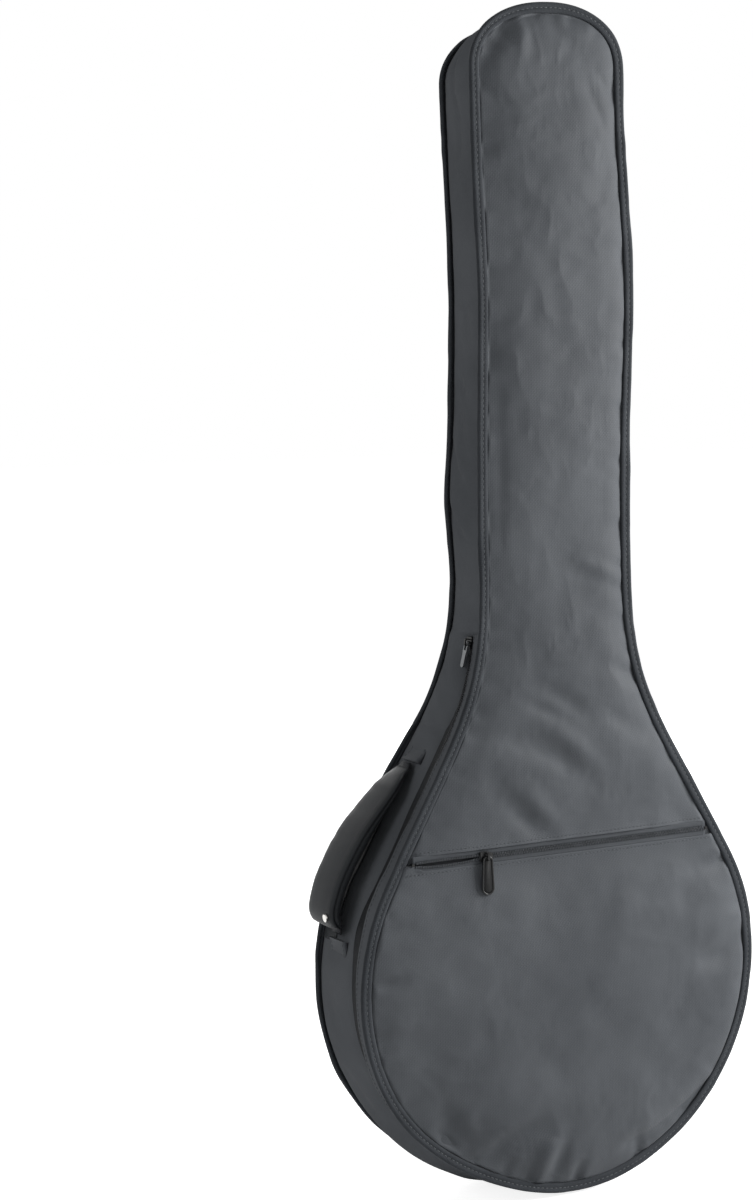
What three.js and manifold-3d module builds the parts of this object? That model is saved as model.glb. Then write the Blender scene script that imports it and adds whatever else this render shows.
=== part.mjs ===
// A padded gig bag for a resonator banjo: a round drum, a long neck and a gusset all round.
// The front panel's lower part is a flap that unzips round the drum and folds up at the neck.
// Lengths are millimetres. While it is drawn, the bag's front face is at y = 0, its lowest
// point is at z = 0, and x = 0 runs up the middle. The finished group is then moved, so that
// the seam on the back of the neck, from which the bag hangs by its straps, is the origin.
import * as THREE from 'three';
import { mergeVertices } from 'three/addons/utils/BufferGeometryUtils.js';
import Module from 'manifold-3d';

const wasm = await Module();
wasm.setup();

// Driving sizes of the outline
const bagLength = 1000;
const drumRadius = 186;
const neckHalfWidth = 65;
const archRise = 45;
const archRoundness = 2.27;
const shoulderAngle = THREE.MathUtils.degToRad(28.9);
const shoulderLead = 155;
const neckTail = 116;
const neckStart = 540;

// Depth of the bag, front face to back face, and where it narrows
const drumDepth = 94;
const neckDepth = 58;
const taperStart = 308;
const taperEnd = 534;

// Layers and clearances
const gap = 0.3;
const clothThickness = 1.2;
const foamThickness = 4.5;
const liningThickness = 0.8;
const foldHeight = 485;
const hangHeight = 575;

// Bound seams
const bindingWidth = 9;
const bindingProud = 1.6;
const bindingWrap = 2.4;

// Main zip: its line round the gusset, measured from the front face
const zipLine = 26;
const zipTapeWidth = 12;
const zipTapeThickness = 1;
const zipCoilWidth = 1.7;
const zipCoilHeight = 2.2;
const zipMouth = 3;

// Steps along each stretch of the outline, and the least step beside a cut
const drumSteps = 14;
const flankSteps = 12;
const neckSteps = 3;
const archSteps = 8;
const leastStepShare = 0.02;

function mixed(a, b, share) {
  return a + (b - a) * share;
}

// Depth of the bag at a height: full at the drum, shallower at the neck
function depthAt(z) {
  const share = THREE.MathUtils.clamp((z - taperStart) / (taperEnd - taperStart), 0, 1);
  return mixed(drumDepth, neckDepth, (1 - Math.cos(Math.PI * share)) / 2);
}

// The right half of the outline in four stretches: drum arc, flank, straight neck and arch
const shoulder = new THREE.Vector2(
  drumRadius * Math.cos(shoulderAngle), drumRadius + drumRadius * Math.sin(shoulderAngle));
const shoulderRun = new THREE.Vector2(-Math.sin(shoulderAngle), Math.cos(shoulderAngle));
const flank = new THREE.CubicBezierCurve(
  shoulder,
  shoulder.clone().addScaledVector(shoulderRun, shoulderLead),
  new THREE.Vector2(neckHalfWidth, neckStart - neckTail),
  new THREE.Vector2(neckHalfWidth, neckStart));
const archBase = bagLength - archRise;
const stretchCount = 4;

function edgePoint(t) {
  if (t <= 1) {
    const angle = mixed(-Math.PI / 2, shoulderAngle, t);
    return new THREE.Vector2(
      drumRadius * Math.cos(angle), drumRadius + drumRadius * Math.sin(angle));
  }
  if (t <= 2) {
    return flank.getPoint(t - 1);
  }
  if (t <= 3) {
    return new THREE.Vector2(neckHalfWidth, mixed(neckStart, archBase, t - 2));
  }
  const angle = Math.min(t - 3, 1) * Math.PI / 2;
  const power = 2 / archRoundness;
  return new THREE.Vector2(
    neckHalfWidth * Math.max(Math.cos(angle), 0) ** power,
    archBase + archRise * Math.sin(angle) ** power);
}

// A station: a point of the outline, its outward direction and the bag's depth there
function stationAt(t) {
  const probe = 1e-4;
  const here = edgePoint(t);
  const after = edgePoint(Math.min(t + probe, stretchCount));
  const before = edgePoint(Math.max(t - probe, 0));
  const run = after.sub(before).normalize();
  const end = t < probe || t > stretchCount - probe;
  const out = end ? new THREE.Vector2(0, t < 1 ? -1 : 1) : new THREE.Vector2(run.y, -run.x);
  return { x: here.x, z: here.y, outX: out.x, outZ: out.y, depth: depthAt(here.y) };
}

// The place along the outline at which it reaches a height
function placeAtHeight(z) {
  const halvings = 50;
  let low = 0;
  let high = stretchCount;
  for (let i = 0; i < halvings; i += 1) {
    const middle = (low + high) / 2;
    if (edgePoint(middle).y < z) {
      low = middle;
    } else {
      high = middle;
    }
  }
  return (low + high) / 2;
}

const basePlaces = [drumSteps, flankSteps, neckSteps, archSteps].flatMap(
  (steps, stretch) => Array.from({ length: steps }, (_, i) => stretch + i / steps));

// Stations up the right edge between two heights; the bag's own ends take no height
function edgeStations(lowZ, highZ) {
  const low = lowZ === null ? 0 : placeAtHeight(lowZ);
  const high = highZ === null ? stretchCount : placeAtHeight(highZ);
  const between = basePlaces.filter(
    (t) => t > low + leastStepShare && t < high - leastStepShare);
  const stations = [low, ...between, high].map(stationAt);
  // At a cut the layers end level, so their way out is level too
  const cuts = [...(lowZ === null ? [] : [0]), ...(highZ === null ? [] : [stations.length - 1])];
  for (const i of cuts) {
    stations[i] = { ...stations[i], outX: 1 / stations[i].outX, outZ: 0 };
  }
  return stations;
}

function mirrored(station) {
  return { ...station, x: -station.x, outX: -station.outX };
}

// Round the drum from the left end, down, and up to the right end
function drumStations(topZ) {
  const right = edgeStations(null, topZ);
  return [...right.slice(1).reverse().map(mirrored), ...right];
}

// Over the neck from the right end, up, and down to the left end
function neckStations(bottomZ) {
  const right = edgeStations(bottomZ, null);
  return [...right, ...right.slice(0, -1).reverse().map(mirrored)];
}

function loopStations() {
  const right = edgeStations(null, null);
  return [...right, ...right.slice(1, -1).reverse().map(mirrored)];
}

// Makes a closed geometry from points and triangles, with its faces pointing out
function closedGeometry(points, triangles) {
  let volume = 0;
  for (const [a, b, c] of triangles) {
    volume += points[a].dot(points[b].clone().cross(points[c]));
  }
  const faces = volume < 0 ? triangles.map(([a, b, c]) => [a, c, b]) : triangles;
  const geometry = new THREE.BufferGeometry();
  geometry.setAttribute('position', new THREE.Float32BufferAttribute(
    points.flatMap((p) => [p.x, p.y, p.z]), 3));
  geometry.setIndex(faces.flat());
  geometry.computeVertexNormals();
  return geometry;
}

// Sweeps a section along stations. A section point is { out, front } or { out, back }:
// its distance outward from the outline, and from the front face or from the back face.
// A section that changes on its way is given as a function of the share of the way.
function bandGeometry(stations, sectionAt, closed) {
  const points = [];
  const section = typeof sectionAt === 'function' ? sectionAt(0) : sectionAt;
  stations.forEach((s, i) => {
    const here = typeof sectionAt === 'function' ? sectionAt(i / (stations.length - 1)) : section;
    for (const p of here) {
      const y = p.back === undefined ? p.front : s.depth - p.back;
      points.push(new THREE.Vector3(s.x + s.outX * p.out, y, s.z + s.outZ * p.out));
    }
  });
  const triangles = [];
  const around = section.length;
  const spans = closed ? stations.length : stations.length - 1;
  for (let i = 0; i < spans; i += 1) {
    const next = (i + 1) % stations.length;
    for (let k = 0; k < around; k += 1) {
      const after = (k + 1) % around;
      const a = i * around + k;
      const b = i * around + after;
      const c = next * around + after;
      const d = next * around + k;
      triangles.push([a, b, c], [a, c, d]);
    }
  }
  if (!closed) {
    const flat = section.map((p) => new THREE.Vector2(
      p.out, p.back === undefined ? p.front : stations[0].depth - p.back));
    const turned = THREE.ShapeUtils.area(flat) < 0;
    const order = flat.map((_, k) => (turned ? around - 1 - k : k));
    const caps = THREE.ShapeUtils.triangulateShape(order.map((k) => flat[k]), []);
    const last = (stations.length - 1) * around;
    for (const cap of caps) {
      const [a, b, c] = cap.map((k) => order[k]);
      triangles.push(turned ? [a, b, c] : [a, c, b]);
      triangles.push(turned ? [last + a, last + c, last + b] : [last + a, last + b, last + c]);
    }
  }
  return closedGeometry(points, triangles);
}

function rectangleSection(outLow, outHigh, first, second) {
  return [
    { out: outLow, ...first }, { out: outHigh, ...first },
    { out: outHigh, ...second }, { out: outLow, ...second }];
}

// A panel laid across the bag: one row per station, with its own front and back surface.
// faceY(x, z) and rearY(x, z) give the two surfaces, and columns splits the width.
function panelGeometry(stations, inset, faceY, rearY, columns = 1) {
  const rows = stations.map((s) => ({
    x: Math.max(s.x - s.outX * inset, 0), z: s.z - s.outZ * inset }));
  const points = [];
  const index = rows.map((row) => {
    const shares = row.x > 0 ? Array.from({ length: columns + 1 }, (_, k) => k / columns) : [0.5];
    return [faceY, rearY].map((surface) => shares.map((share) => {
      const x = mixed(-row.x, row.x, share);
      points.push(new THREE.Vector3(x, surface(x, row.z), row.z));
      return points.length - 1;
    }));
  });
  const triangles = [];
  const last = rows.length - 1;
  const add = (a, b, c, turned) => triangles.push(turned ? [a, c, b] : [a, b, c]);
  for (let i = 0; i < last; i += 1) {
    for (const side of [0, 1]) {
      const low = index[i][side];
      const high = index[i + 1][side];
      for (let k = 0; k < columns; k += 1) {
        if (low.length > 1) {
          add(low[k], low[k + 1], high.length > 1 ? high[k + 1] : high[0], side === 1);
        }
        if (high.length > 1) {
          add(low.length > 1 ? low[k] : low[0], high[k + 1], high[k], side === 1);
        }
      }
    }
    for (const end of [0, -1]) {
      const [faceLow, rearLow] = index[i].map((line) => line.at(end));
      const [faceHigh, rearHigh] = index[i + 1].map((line) => line.at(end));
      add(faceLow, faceHigh, rearHigh, end === -1);
      add(faceLow, rearHigh, rearLow, end === -1);
    }
  }
  for (const i of [0, last]) {
    const [face, rear] = index[i];
    for (let k = 0; face.length > 1 && k < columns; k += 1) {
      add(face[k], face[k + 1], rear[k + 1], i === 0);
      add(face[k], rear[k + 1], rear[k], i === 0);
    }
  }
  return closedGeometry(points, triangles);
}

// Joins and cuts for small hardware
function solidOf(geometry) {
  const bare = geometry.clone();
  for (const name of Object.keys(bare.attributes)) {
    if (name !== 'position') {
      bare.deleteAttribute(name);
    }
  }
  const merged = mergeVertices(bare);
  return new wasm.Manifold(new wasm.Mesh({
    numProp: 3,
    vertProperties: new Float32Array(merged.attributes.position.array),
    triVerts: new Uint32Array(merged.index.array) }));
}

function geometryOf(solid) {
  const mesh = solid.getMesh();
  const geometry = new THREE.BufferGeometry();
  geometry.setAttribute('position', new THREE.BufferAttribute(
    new Float32Array(mesh.vertProperties), 3));
  geometry.setIndex(new THREE.BufferAttribute(new Uint32Array(mesh.triVerts), 1));
  geometry.computeVertexNormals();
  return geometry;
}

function joined(...geometries) {
  return geometryOf(geometries.map(solidOf).reduce((whole, piece) => whole.add(piece)));
}

function boxGeometry(low, high) {
  const size = new THREE.Vector3().subVectors(high, low);
  const geometry = new THREE.BoxGeometry(size.x, size.y, size.z);
  const middle = new THREE.Vector3().addVectors(low, high).multiplyScalar(1 / 2);
  return geometry.translate(middle.x, middle.y, middle.z);
}

// Finishes
function finish(color, roughness, metalness = 0) {
  return new THREE.MeshStandardMaterial({ color, roughness, metalness });
}

const nylon = () => finish(0x4b4f54, 0.75);
const foamPad = () => finish(0x55585c, 0.9);
const liningCloth = () => finish(0x222427, 0.8);
const bindingTape = () => finish(0x2b2e32, 0.8);
const webbing = () => finish(0x3d3f43, 0.85);
const zipCloth = () => finish(0x26282b, 0.8);
const blackMetal = () => finish(0x18191b, 0.3, 0.9);
const nickel = () => finish(0xc9cbce, 0.25, 1);
const blackPlastic = () => finish(0x1c1d1f, 0.45);

const bag = new THREE.Group();
bag.position.set(0, -neckDepth, -hangHeight);

function place(name, geometry, material, group = bag) {
  const mesh = new THREE.Mesh(geometry, material);
  mesh.name = name;
  group.add(mesh);
  return mesh;
}

// Where each layer lies, counted inward from the cloth's face
const foamStart = clothThickness + gap;
const foamEnd = foamStart + foamThickness;
const liningStart = foamEnd + gap;
const liningEnd = liningStart + liningThickness;
const foldTop = foldHeight + gap / 2;
const foldBottom = foldHeight - gap / 2;

const layers = [
  { part: 'shell', start: 0, end: clothThickness, inset: 0, material: nylon },
  { part: 'foam', start: foamStart, end: foamEnd, inset: foamStart, material: foamPad },
  { part: 'lining', start: liningStart, end: liningEnd, inset: liningStart, material: liningCloth }];

// Front panel: the fixed neck part and the flap, in three layers each. The flap has no padded
// gusset of its own, so its lining runs out to the strip.
function addFrontPanels() {
  for (const layer of layers) {
    const face = () => layer.start;
    const rear = () => layer.end;
    place(`front_neck_${layer.part}`,
      panelGeometry(edgeStations(foldTop, null), layer.inset, face, rear), layer.material());
    place(`flap_${layer.part}`,
      panelGeometry(edgeStations(null, foldBottom), Math.min(layer.inset, foamStart), face, rear),
      layer.material());
  }
}

// Back panel: cloth in two pieces with a cross seam where the straps start, one pad, one lining
function addBackPanel() {
  for (const layer of layers) {
    const face = (x, z) => depthAt(z) - layer.end;
    const rear = (x, z) => depthAt(z) - layer.start;
    if (layer.part === 'shell') {
      place('back_upper_shell',
        panelGeometry(edgeStations(hangHeight + gap / 2, null), 0, face, rear), nylon());
      place('back_lower_shell',
        panelGeometry(edgeStations(null, hangHeight - gap / 2), 0, face, rear), nylon());
    } else {
      place(`back_${layer.part}`,
        panelGeometry(edgeStations(null, null), layer.inset, face, rear), layer.material());
    }
  }
}

// Gusset: over the neck it is one full width. Round the drum the zip splits it, and the narrow
// front strip belongs to the flap.
const rearGussetStart = zipLine + zipMouth;
const tapeStart = clothThickness + gap;
const tapeEnd = tapeStart + zipTapeThickness;
const rearTapeEnd = zipLine + zipTapeWidth;

function addGussets() {
  const drumRun = drumStations(foldBottom);
  const neckRun = neckStations(foldTop);
  const starts = {
    shell: { neck: foamStart, drum: rearGussetStart, back: foamStart },
    foam: { neck: liningStart, drum: rearTapeEnd + gap, back: liningStart },
    lining: { neck: liningEnd + gap, drum: rearTapeEnd + gap, back: liningEnd + gap } };
  for (const layer of layers) {
    const start = starts[layer.part];
    place(`gusset_neck_${layer.part}`, bandGeometry(neckRun, rectangleSection(
      -layer.end, -layer.start, { front: start.neck }, { back: start.back }), false),
    layer.material());
    place(`gusset_drum_${layer.part}`, bandGeometry(drumRun, rectangleSection(
      -layer.end, -layer.start, { front: start.drum }, { back: start.back }), false),
    layer.material());
  }
  place('flap_gusset_strip', bandGeometry(drumRun, rectangleSection(
    -clothThickness, 0, { front: foamStart }, { front: zipLine - zipMouth }), false), nylon());
}

// Bound seams: folded tape stands out round both panels
function addBindings() {
  const bevel = bindingWrap / 2;
  const inner = gap;
  const outer = gap + bindingWidth;
  const front = [
    { out: inner, front: -bindingProud }, { out: outer - bevel, front: -bindingProud },
    { out: outer, front: -bindingProud + bevel }, { out: outer, front: bindingWrap - bevel },
    { out: outer - bevel, front: bindingWrap }, { out: inner, front: bindingWrap }];
  const back = [
    { out: inner, back: -bindingProud }, { out: outer - bevel, back: -bindingProud },
    { out: outer, back: -bindingProud + bevel }, { out: outer, back: bindingWrap - bevel },
    { out: outer - bevel, back: bindingWrap }, { out: inner, back: bindingWrap }];
  place('front_binding_neck', bandGeometry(neckStations(foldTop), front, false), bindingTape());
  place('flap_binding', bandGeometry(drumStations(foldBottom), front, false), bindingTape());
  place('back_binding', bandGeometry(loopStations(), back, true), bindingTape());
}

// Main zip: a tape on each side of the line, each with its coil along the edge
function addMainZip() {
  const run = drumStations(foldBottom);
  const coilOut = -tapeEnd + zipCoilHeight;
  for (const side of [-1, 1]) {
    const at = (away) => ({ front: zipLine + side * away });
    const section = [
      { out: -tapeEnd, ...at(gap / 2) }, { out: coilOut, ...at(gap / 2) },
      { out: coilOut, ...at(gap / 2 + zipCoilWidth) },
      { out: -tapeStart, ...at(gap / 2 + zipCoilWidth) },
      { out: -tapeStart, ...at(zipTapeWidth) }, { out: -tapeEnd, ...at(zipTapeWidth) }];
    place(side < 0 ? 'main_zip_front_tape' : 'main_zip_rear_tape',
      bandGeometry(run, section, false), zipCloth());
  }
}

// A slider is a plate with an arch on it. The puller is a plate with a window, whose top bar
// runs under the arch. Both are drawn lying down: the puller's hinge runs along X, the arch
// stands along Y, and the plate's underside is at z = 0. The zip runs along Y, or along X if
// the plate is turned.
const archHeight = 4.2;
const archWall = 1.1;
const archSpan = 6.4;
const archThickness = 2;
const crossBar = 1.6;
const pullerRunning = 0.7;

function sliderGeometry(width, length, thickness, turned) {
  const half = width / 2;
  const noseShare = 0.55;
  const outline = new THREE.Shape([
    new THREE.Vector2(-half * noseShare, -length / 2),
    new THREE.Vector2(half * noseShare, -length / 2),
    new THREE.Vector2(half, 0), new THREE.Vector2(half, length / 2),
    new THREE.Vector2(-half, length / 2), new THREE.Vector2(-half, 0)]);
  const plate = new THREE.ExtrudeGeometry(outline, { depth: thickness, bevelEnabled: false });
  if (turned) {
    plate.rotateZ(Math.PI / 2);
  }
  const arch = new THREE.Shape();
  const foot = archSpan / 2;
  const sunk = thickness / 2;
  arch.moveTo(-foot, -sunk);
  arch.lineTo(-foot, archHeight - archWall);
  arch.lineTo(-foot + archWall, archHeight);
  arch.lineTo(foot - archWall, archHeight);
  arch.lineTo(foot, archHeight - archWall);
  arch.lineTo(foot, -sunk);
  arch.lineTo(foot - archWall, -sunk);
  arch.lineTo(foot - archWall, archHeight - archWall);
  arch.lineTo(-foot + archWall, archHeight - archWall);
  arch.lineTo(-foot + archWall, -sunk);
  arch.closePath();
  const bail = new THREE.ExtrudeGeometry(arch, { depth: archThickness, bevelEnabled: false });
  bail.rotateX(Math.PI / 2);
  bail.rotateZ(Math.PI / 2);
  bail.translate(-archThickness / 2, 0, thickness);
  return joined(plate, bail);
}

// The puller hangs towards -Y from its bar at the origin, and its plate is centred on z = 0
function pullerGeometry(width, length, thickness, windowLength) {
  const rail = 1.3;
  const endSteps = 5;
  const eyeHalf = archThickness / 2 + pullerRunning;
  const neckHalf = eyeHalf + rail;
  const top = crossBar / 2;
  const half = width / 2;
  const waist = windowLength + rail;
  const outline = new THREE.Shape();
  outline.moveTo(-neckHalf, top);
  outline.lineTo(-neckHalf, -waist);
  outline.lineTo(-half, -waist - half);
  outline.absarc(0, -length + half, half, Math.PI, 2 * Math.PI, false);
  outline.lineTo(half, -waist - half);
  outline.lineTo(neckHalf, -waist);
  outline.lineTo(neckHalf, top);
  outline.closePath();
  const window = new THREE.Path();
  window.moveTo(-eyeHalf, -top);
  window.lineTo(-eyeHalf, -windowLength);
  window.lineTo(eyeHalf, -windowLength);
  window.lineTo(eyeHalf, -top);
  window.closePath();
  outline.holes.push(window);
  const plate = new THREE.ExtrudeGeometry(
    outline, { depth: thickness, bevelEnabled: false, curveSegments: endSteps });
  return plate.translate(0, 0, -thickness / 2);
}

// Main slider and puller, parked at the top of the zip on the left shoulder
const mainSliderWidth = 8.4;
const mainSliderLength = 9;
const mainSliderThickness = 1.8;
const mainSliderStand = 0.8;
const mainSliderTravel = 20;
const mainSliderDrop = 9;
const mainPullerWidth = 5;
const mainPullerLength = 22;
const mainPullerThickness = 1.4;
const mainPullerWindow = 7;
const mainPullerLean = THREE.MathUtils.degToRad(8);
const stopLength = 2.4;
const stopWidth = 2.4;
const stopThickness = 1.2;

function addMainSlider() {
  const parkedHeight = foldHeight - mainSliderDrop;
  const parked = mirrored(stationAt(placeAtHeight(parkedHeight)));
  const low = mirrored(stationAt(placeAtHeight(parkedHeight - mainSliderTravel)));
  const holder = new THREE.Group();
  holder.position.set(parked.x, zipLine, parked.z);
  holder.rotation.set(0, Math.atan2(parked.x - low.x, parked.z - low.z), 0);
  bag.add(holder);
  const toSide = new THREE.Matrix4().makeBasis(
    new THREE.Vector3(0, -1, 0), new THREE.Vector3(0, 0, 1), new THREE.Vector3(-1, 0, 0));
  const slider = sliderGeometry(mainSliderWidth, mainSliderLength, mainSliderThickness, false);
  slider.applyMatrix4(toSide);
  slider.translate(-mainSliderStand, 0, 0);
  place('main_zip_slider', slider, blackMetal(), holder);
  const barOut = mainSliderStand + mainSliderThickness + (archHeight - archWall) / 2;
  const puller = pullerGeometry(
    mainPullerWidth, mainPullerLength, mainPullerThickness, mainPullerWindow);
  puller.rotateZ(-mainPullerLean);
  puller.applyMatrix4(toSide);
  puller.translate(-barOut, 0, 0);
  place('main_zip_puller', puller, nickel(), holder);
  // End stops clipped over the rear coil, just under the fold
  const stopTop = foldBottom - gap;
  const right = [stopTop - stopLength, stopTop].map((z) => stationAt(placeAtHeight(z)));
  const stopOut = zipCoilHeight - tapeEnd + gap;
  const section = rectangleSection(stopOut, stopOut + stopThickness,
    { front: zipLine + gap / 2 }, { front: zipLine + gap / 2 + stopWidth });
  place('main_zip_stop_right', bandGeometry(right, section, false), nickel());
  place('main_zip_stop_left', bandGeometry(right.map(mirrored), section, false), nickel());
}

// Pocket on the drum's front: a full panel below a zip, bulging a little over its space
const pocketMouthRise = 112;
const pocketTapeHeight = 4.6;
const pocketCoilWidth = 1;
const pocketCoilProud = 1.6;
const pocketBulge = 7;
const pocketSliderX = -75.4;
const pocketSliderWidth = 8.4;
const pocketSliderLength = 12;
const pocketSliderThickness = 1.6;
const pocketPullerWidth = 12;
const pocketPullerLength = 33;
const pocketPullerThickness = 1.4;
const pocketPullerWindow = 8;
const pocketStopInset = 4;

const pocketColumns = 8;
const bulgeSideShare = 0.55;

const pocketMouth = drumRadius + pocketMouthRise;
const pocketTop = pocketMouth - gap / 2 - pocketCoilWidth - pocketTapeHeight - gap;

function pocketFullness(x, z) {
  const rise = THREE.MathUtils.clamp(z / pocketTop, 0, 1);
  const reach = Math.sqrt(Math.max(drumRadius ** 2 - (z - drumRadius) ** 2, gap));
  const across = Math.max(1 - Math.abs(x / reach) ** 2, 0);
  const upward = Math.sin(Math.PI * rise) ** 2;
  return pocketBulge * Math.min(across / bulgeSideShare, 1) * upward;
}

function addPocket() {
  const start = -gap - clothThickness;
  const face = (x, z) => start - pocketFullness(x, z);
  const rear = (x, z) => -gap - pocketFullness(x, z);
  place('pocket_panel',
    panelGeometry(edgeStations(null, pocketTop), 0, face, rear, pocketColumns), nylon());
  for (const side of [-1, 1]) {
    const from = pocketMouth + side * gap / 2;
    const coilEnd = from + side * pocketCoilWidth;
    const tapeEndZ = coilEnd + side * pocketTapeHeight;
    const widest = Math.max(tapeEndZ, from);
    const half = edgePoint(placeAtHeight(widest)).x - gap;
    const section = new THREE.Shape([
      new THREE.Vector2(from, -gap), new THREE.Vector2(from, start - pocketCoilProud),
      new THREE.Vector2(coilEnd, start - pocketCoilProud), new THREE.Vector2(coilEnd, start),
      new THREE.Vector2(tapeEndZ, start), new THREE.Vector2(tapeEndZ, -gap)]);
    const tape = new THREE.ExtrudeGeometry(section, { depth: 2 * half, bevelEnabled: false });
    tape.applyMatrix4(new THREE.Matrix4().makeBasis(
      new THREE.Vector3(0, 0, 1), new THREE.Vector3(0, 1, 0), new THREE.Vector3(-1, 0, 0)));
    tape.translate(half, 0, 0);
    place(side < 0 ? 'pocket_zip_lower_tape' : 'pocket_zip_upper_tape', tape, zipCloth());
  }
  // Slider over both coils, its puller hanging in front of the pocket, and two end stops
  const coilFace = start - pocketCoilProud;
  const toFront = new THREE.Matrix4().makeBasis(
    new THREE.Vector3(1, 0, 0), new THREE.Vector3(0, 0, 1), new THREE.Vector3(0, -1, 0));
  const slider = sliderGeometry(
    pocketSliderWidth, pocketSliderLength, pocketSliderThickness, true);
  slider.applyMatrix4(toFront);
  slider.translate(pocketSliderX, coilFace - gap, pocketMouth);
  place('pocket_zip_slider', slider, blackMetal());
  const barFace = coilFace - gap - pocketSliderThickness - (archHeight - archWall) / 2;
  const puller = pullerGeometry(
    pocketPullerWidth, pocketPullerLength, pocketPullerThickness, pocketPullerWindow);
  puller.applyMatrix4(toFront);
  puller.translate(pocketSliderX, barFace, pocketMouth);
  place('pocket_zip_puller', puller, blackMetal());
  const stopEnd = edgePoint(placeAtHeight(pocketMouth)).x - pocketStopInset;
  const stopHalf = pocketCoilWidth + gap;
  for (const side of [-1, 1]) {
    const ends = [side * stopEnd, side * (stopEnd - stopLength)].sort((a, b) => a - b);
    const stop = boxGeometry(
      new THREE.Vector3(ends[0], coilFace - gap - stopThickness, pocketMouth - stopHalf),
      new THREE.Vector3(ends[1], coilFace - gap, pocketMouth + stopHalf));
    place(`pocket_zip_stop_${side < 0 ? 'left' : 'right'}`, stop, nickel());
  }
}

// Shoulder straps: webbing from the cross seam on the neck's back to the drum's lower edge.
// Each leaves the seam straight down, bows away from the cloth and ends in a straight stretch,
// on which its adjuster slides.
const strapWidth = 38;
const strapThickness = 1.6;
const strapSpacing = 74;
const strapKneeRise = 84;
const strapFootDrop = 68;
const strapLean = THREE.MathUtils.degToRad(17.9);
const strapBow = 14;
const strapLeadShare = 1 / 3;
const strapSteps = 12;
const strapHem = 10;
const seamBandHeight = 20;
const seamBandWidth = 122;
const seamBandThickness = 1.8;
const anchorLength = 26;
const anchorThickness = 3.4;
const adjusterLength = 26;
const adjusterRail = 3.2;
const adjusterBar = 5;
const adjusterThickness = 6;
const adjusterRise = 42;

const strapKnee = new THREE.Vector2(drumRadius / 2, drumRadius + strapKneeRise);
const strapFootHeight = drumRadius - strapFootDrop;
const strapRun = new THREE.Vector2(Math.sin(strapLean), -Math.cos(strapLean));
const strapAcross = new THREE.Vector2(-strapRun.y, strapRun.x);
const strapFoot = strapKnee.clone().addScaledVector(
  strapRun, (strapKnee.y - strapFootHeight) / Math.cos(strapLean));
const strapStand = gap + anchorThickness + gap;

function strapStations() {
  const top = new THREE.Vector2(strapSpacing / 2, hangHeight - seamBandHeight / 2 - gap);
  const lead = (top.y - strapKnee.y) * strapLeadShare;
  const curve = new THREE.CubicBezierCurve(
    top, new THREE.Vector2(top.x, top.y - lead),
    strapKnee.clone().addScaledVector(strapRun, -lead), strapKnee);
  const stations = Array.from({ length: strapSteps + 1 }, (_, i) => {
    const share = i / strapSteps;
    const at = curve.getPoint(share);
    const run = curve.getTangent(share);
    const stand = mixed(gap, strapStand, share) + strapBow * Math.sin(Math.PI * share) ** 2;
    return { at, across: new THREE.Vector2(-run.y, run.x), y: depthAt(at.y) + stand };
  });
  const end = strapFoot.clone().addScaledVector(strapRun, strapHem);
  stations.push({ at: end, across: strapAcross, y: drumDepth + strapStand });
  return stations;
}

function strapGeometry(side) {
  const points = strapStations().flatMap(({ at, across, y }) => {
    const half = across.clone().multiplyScalar(strapWidth / 2);
    return [[-1, 0], [1, 0], [1, strapThickness], [-1, strapThickness]].map(([turn, rise]) =>
      new THREE.Vector3(side * (at.x + turn * half.x), y + rise, at.y + turn * half.y));
  });
  const triangles = [];
  const around = 4;
  const last = points.length - around;
  for (let i = 0; i < last; i += around) {
    for (let k = 0; k < around; k += 1) {
      const after = (k + 1) % around;
      triangles.push([i + k, i + after, i + around + after]);
      triangles.push([i + k, i + around + after, i + around + k]);
    }
  }
  triangles.push([0, 2, 1], [0, 3, 2]);
  triangles.push([last, last + 1, last + 2], [last, last + 2, last + 3]);
  return closedGeometry(points, triangles);
}

// Turns a piece drawn with the strap's run along -Y, its width along X and its outer face to +Z
function onStrap(geometry, side, along, faceY) {
  const at = strapFoot.clone().addScaledVector(strapRun, -along);
  const turned = geometry.clone();
  turned.applyMatrix4(new THREE.Matrix4().makeBasis(
    new THREE.Vector3(-1, 0, 0), new THREE.Vector3(0, 0, 1), new THREE.Vector3(0, 1, 0)));
  turned.rotateY(-side * strapLean);
  return turned.translate(side * at.x, faceY, at.y);
}

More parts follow.
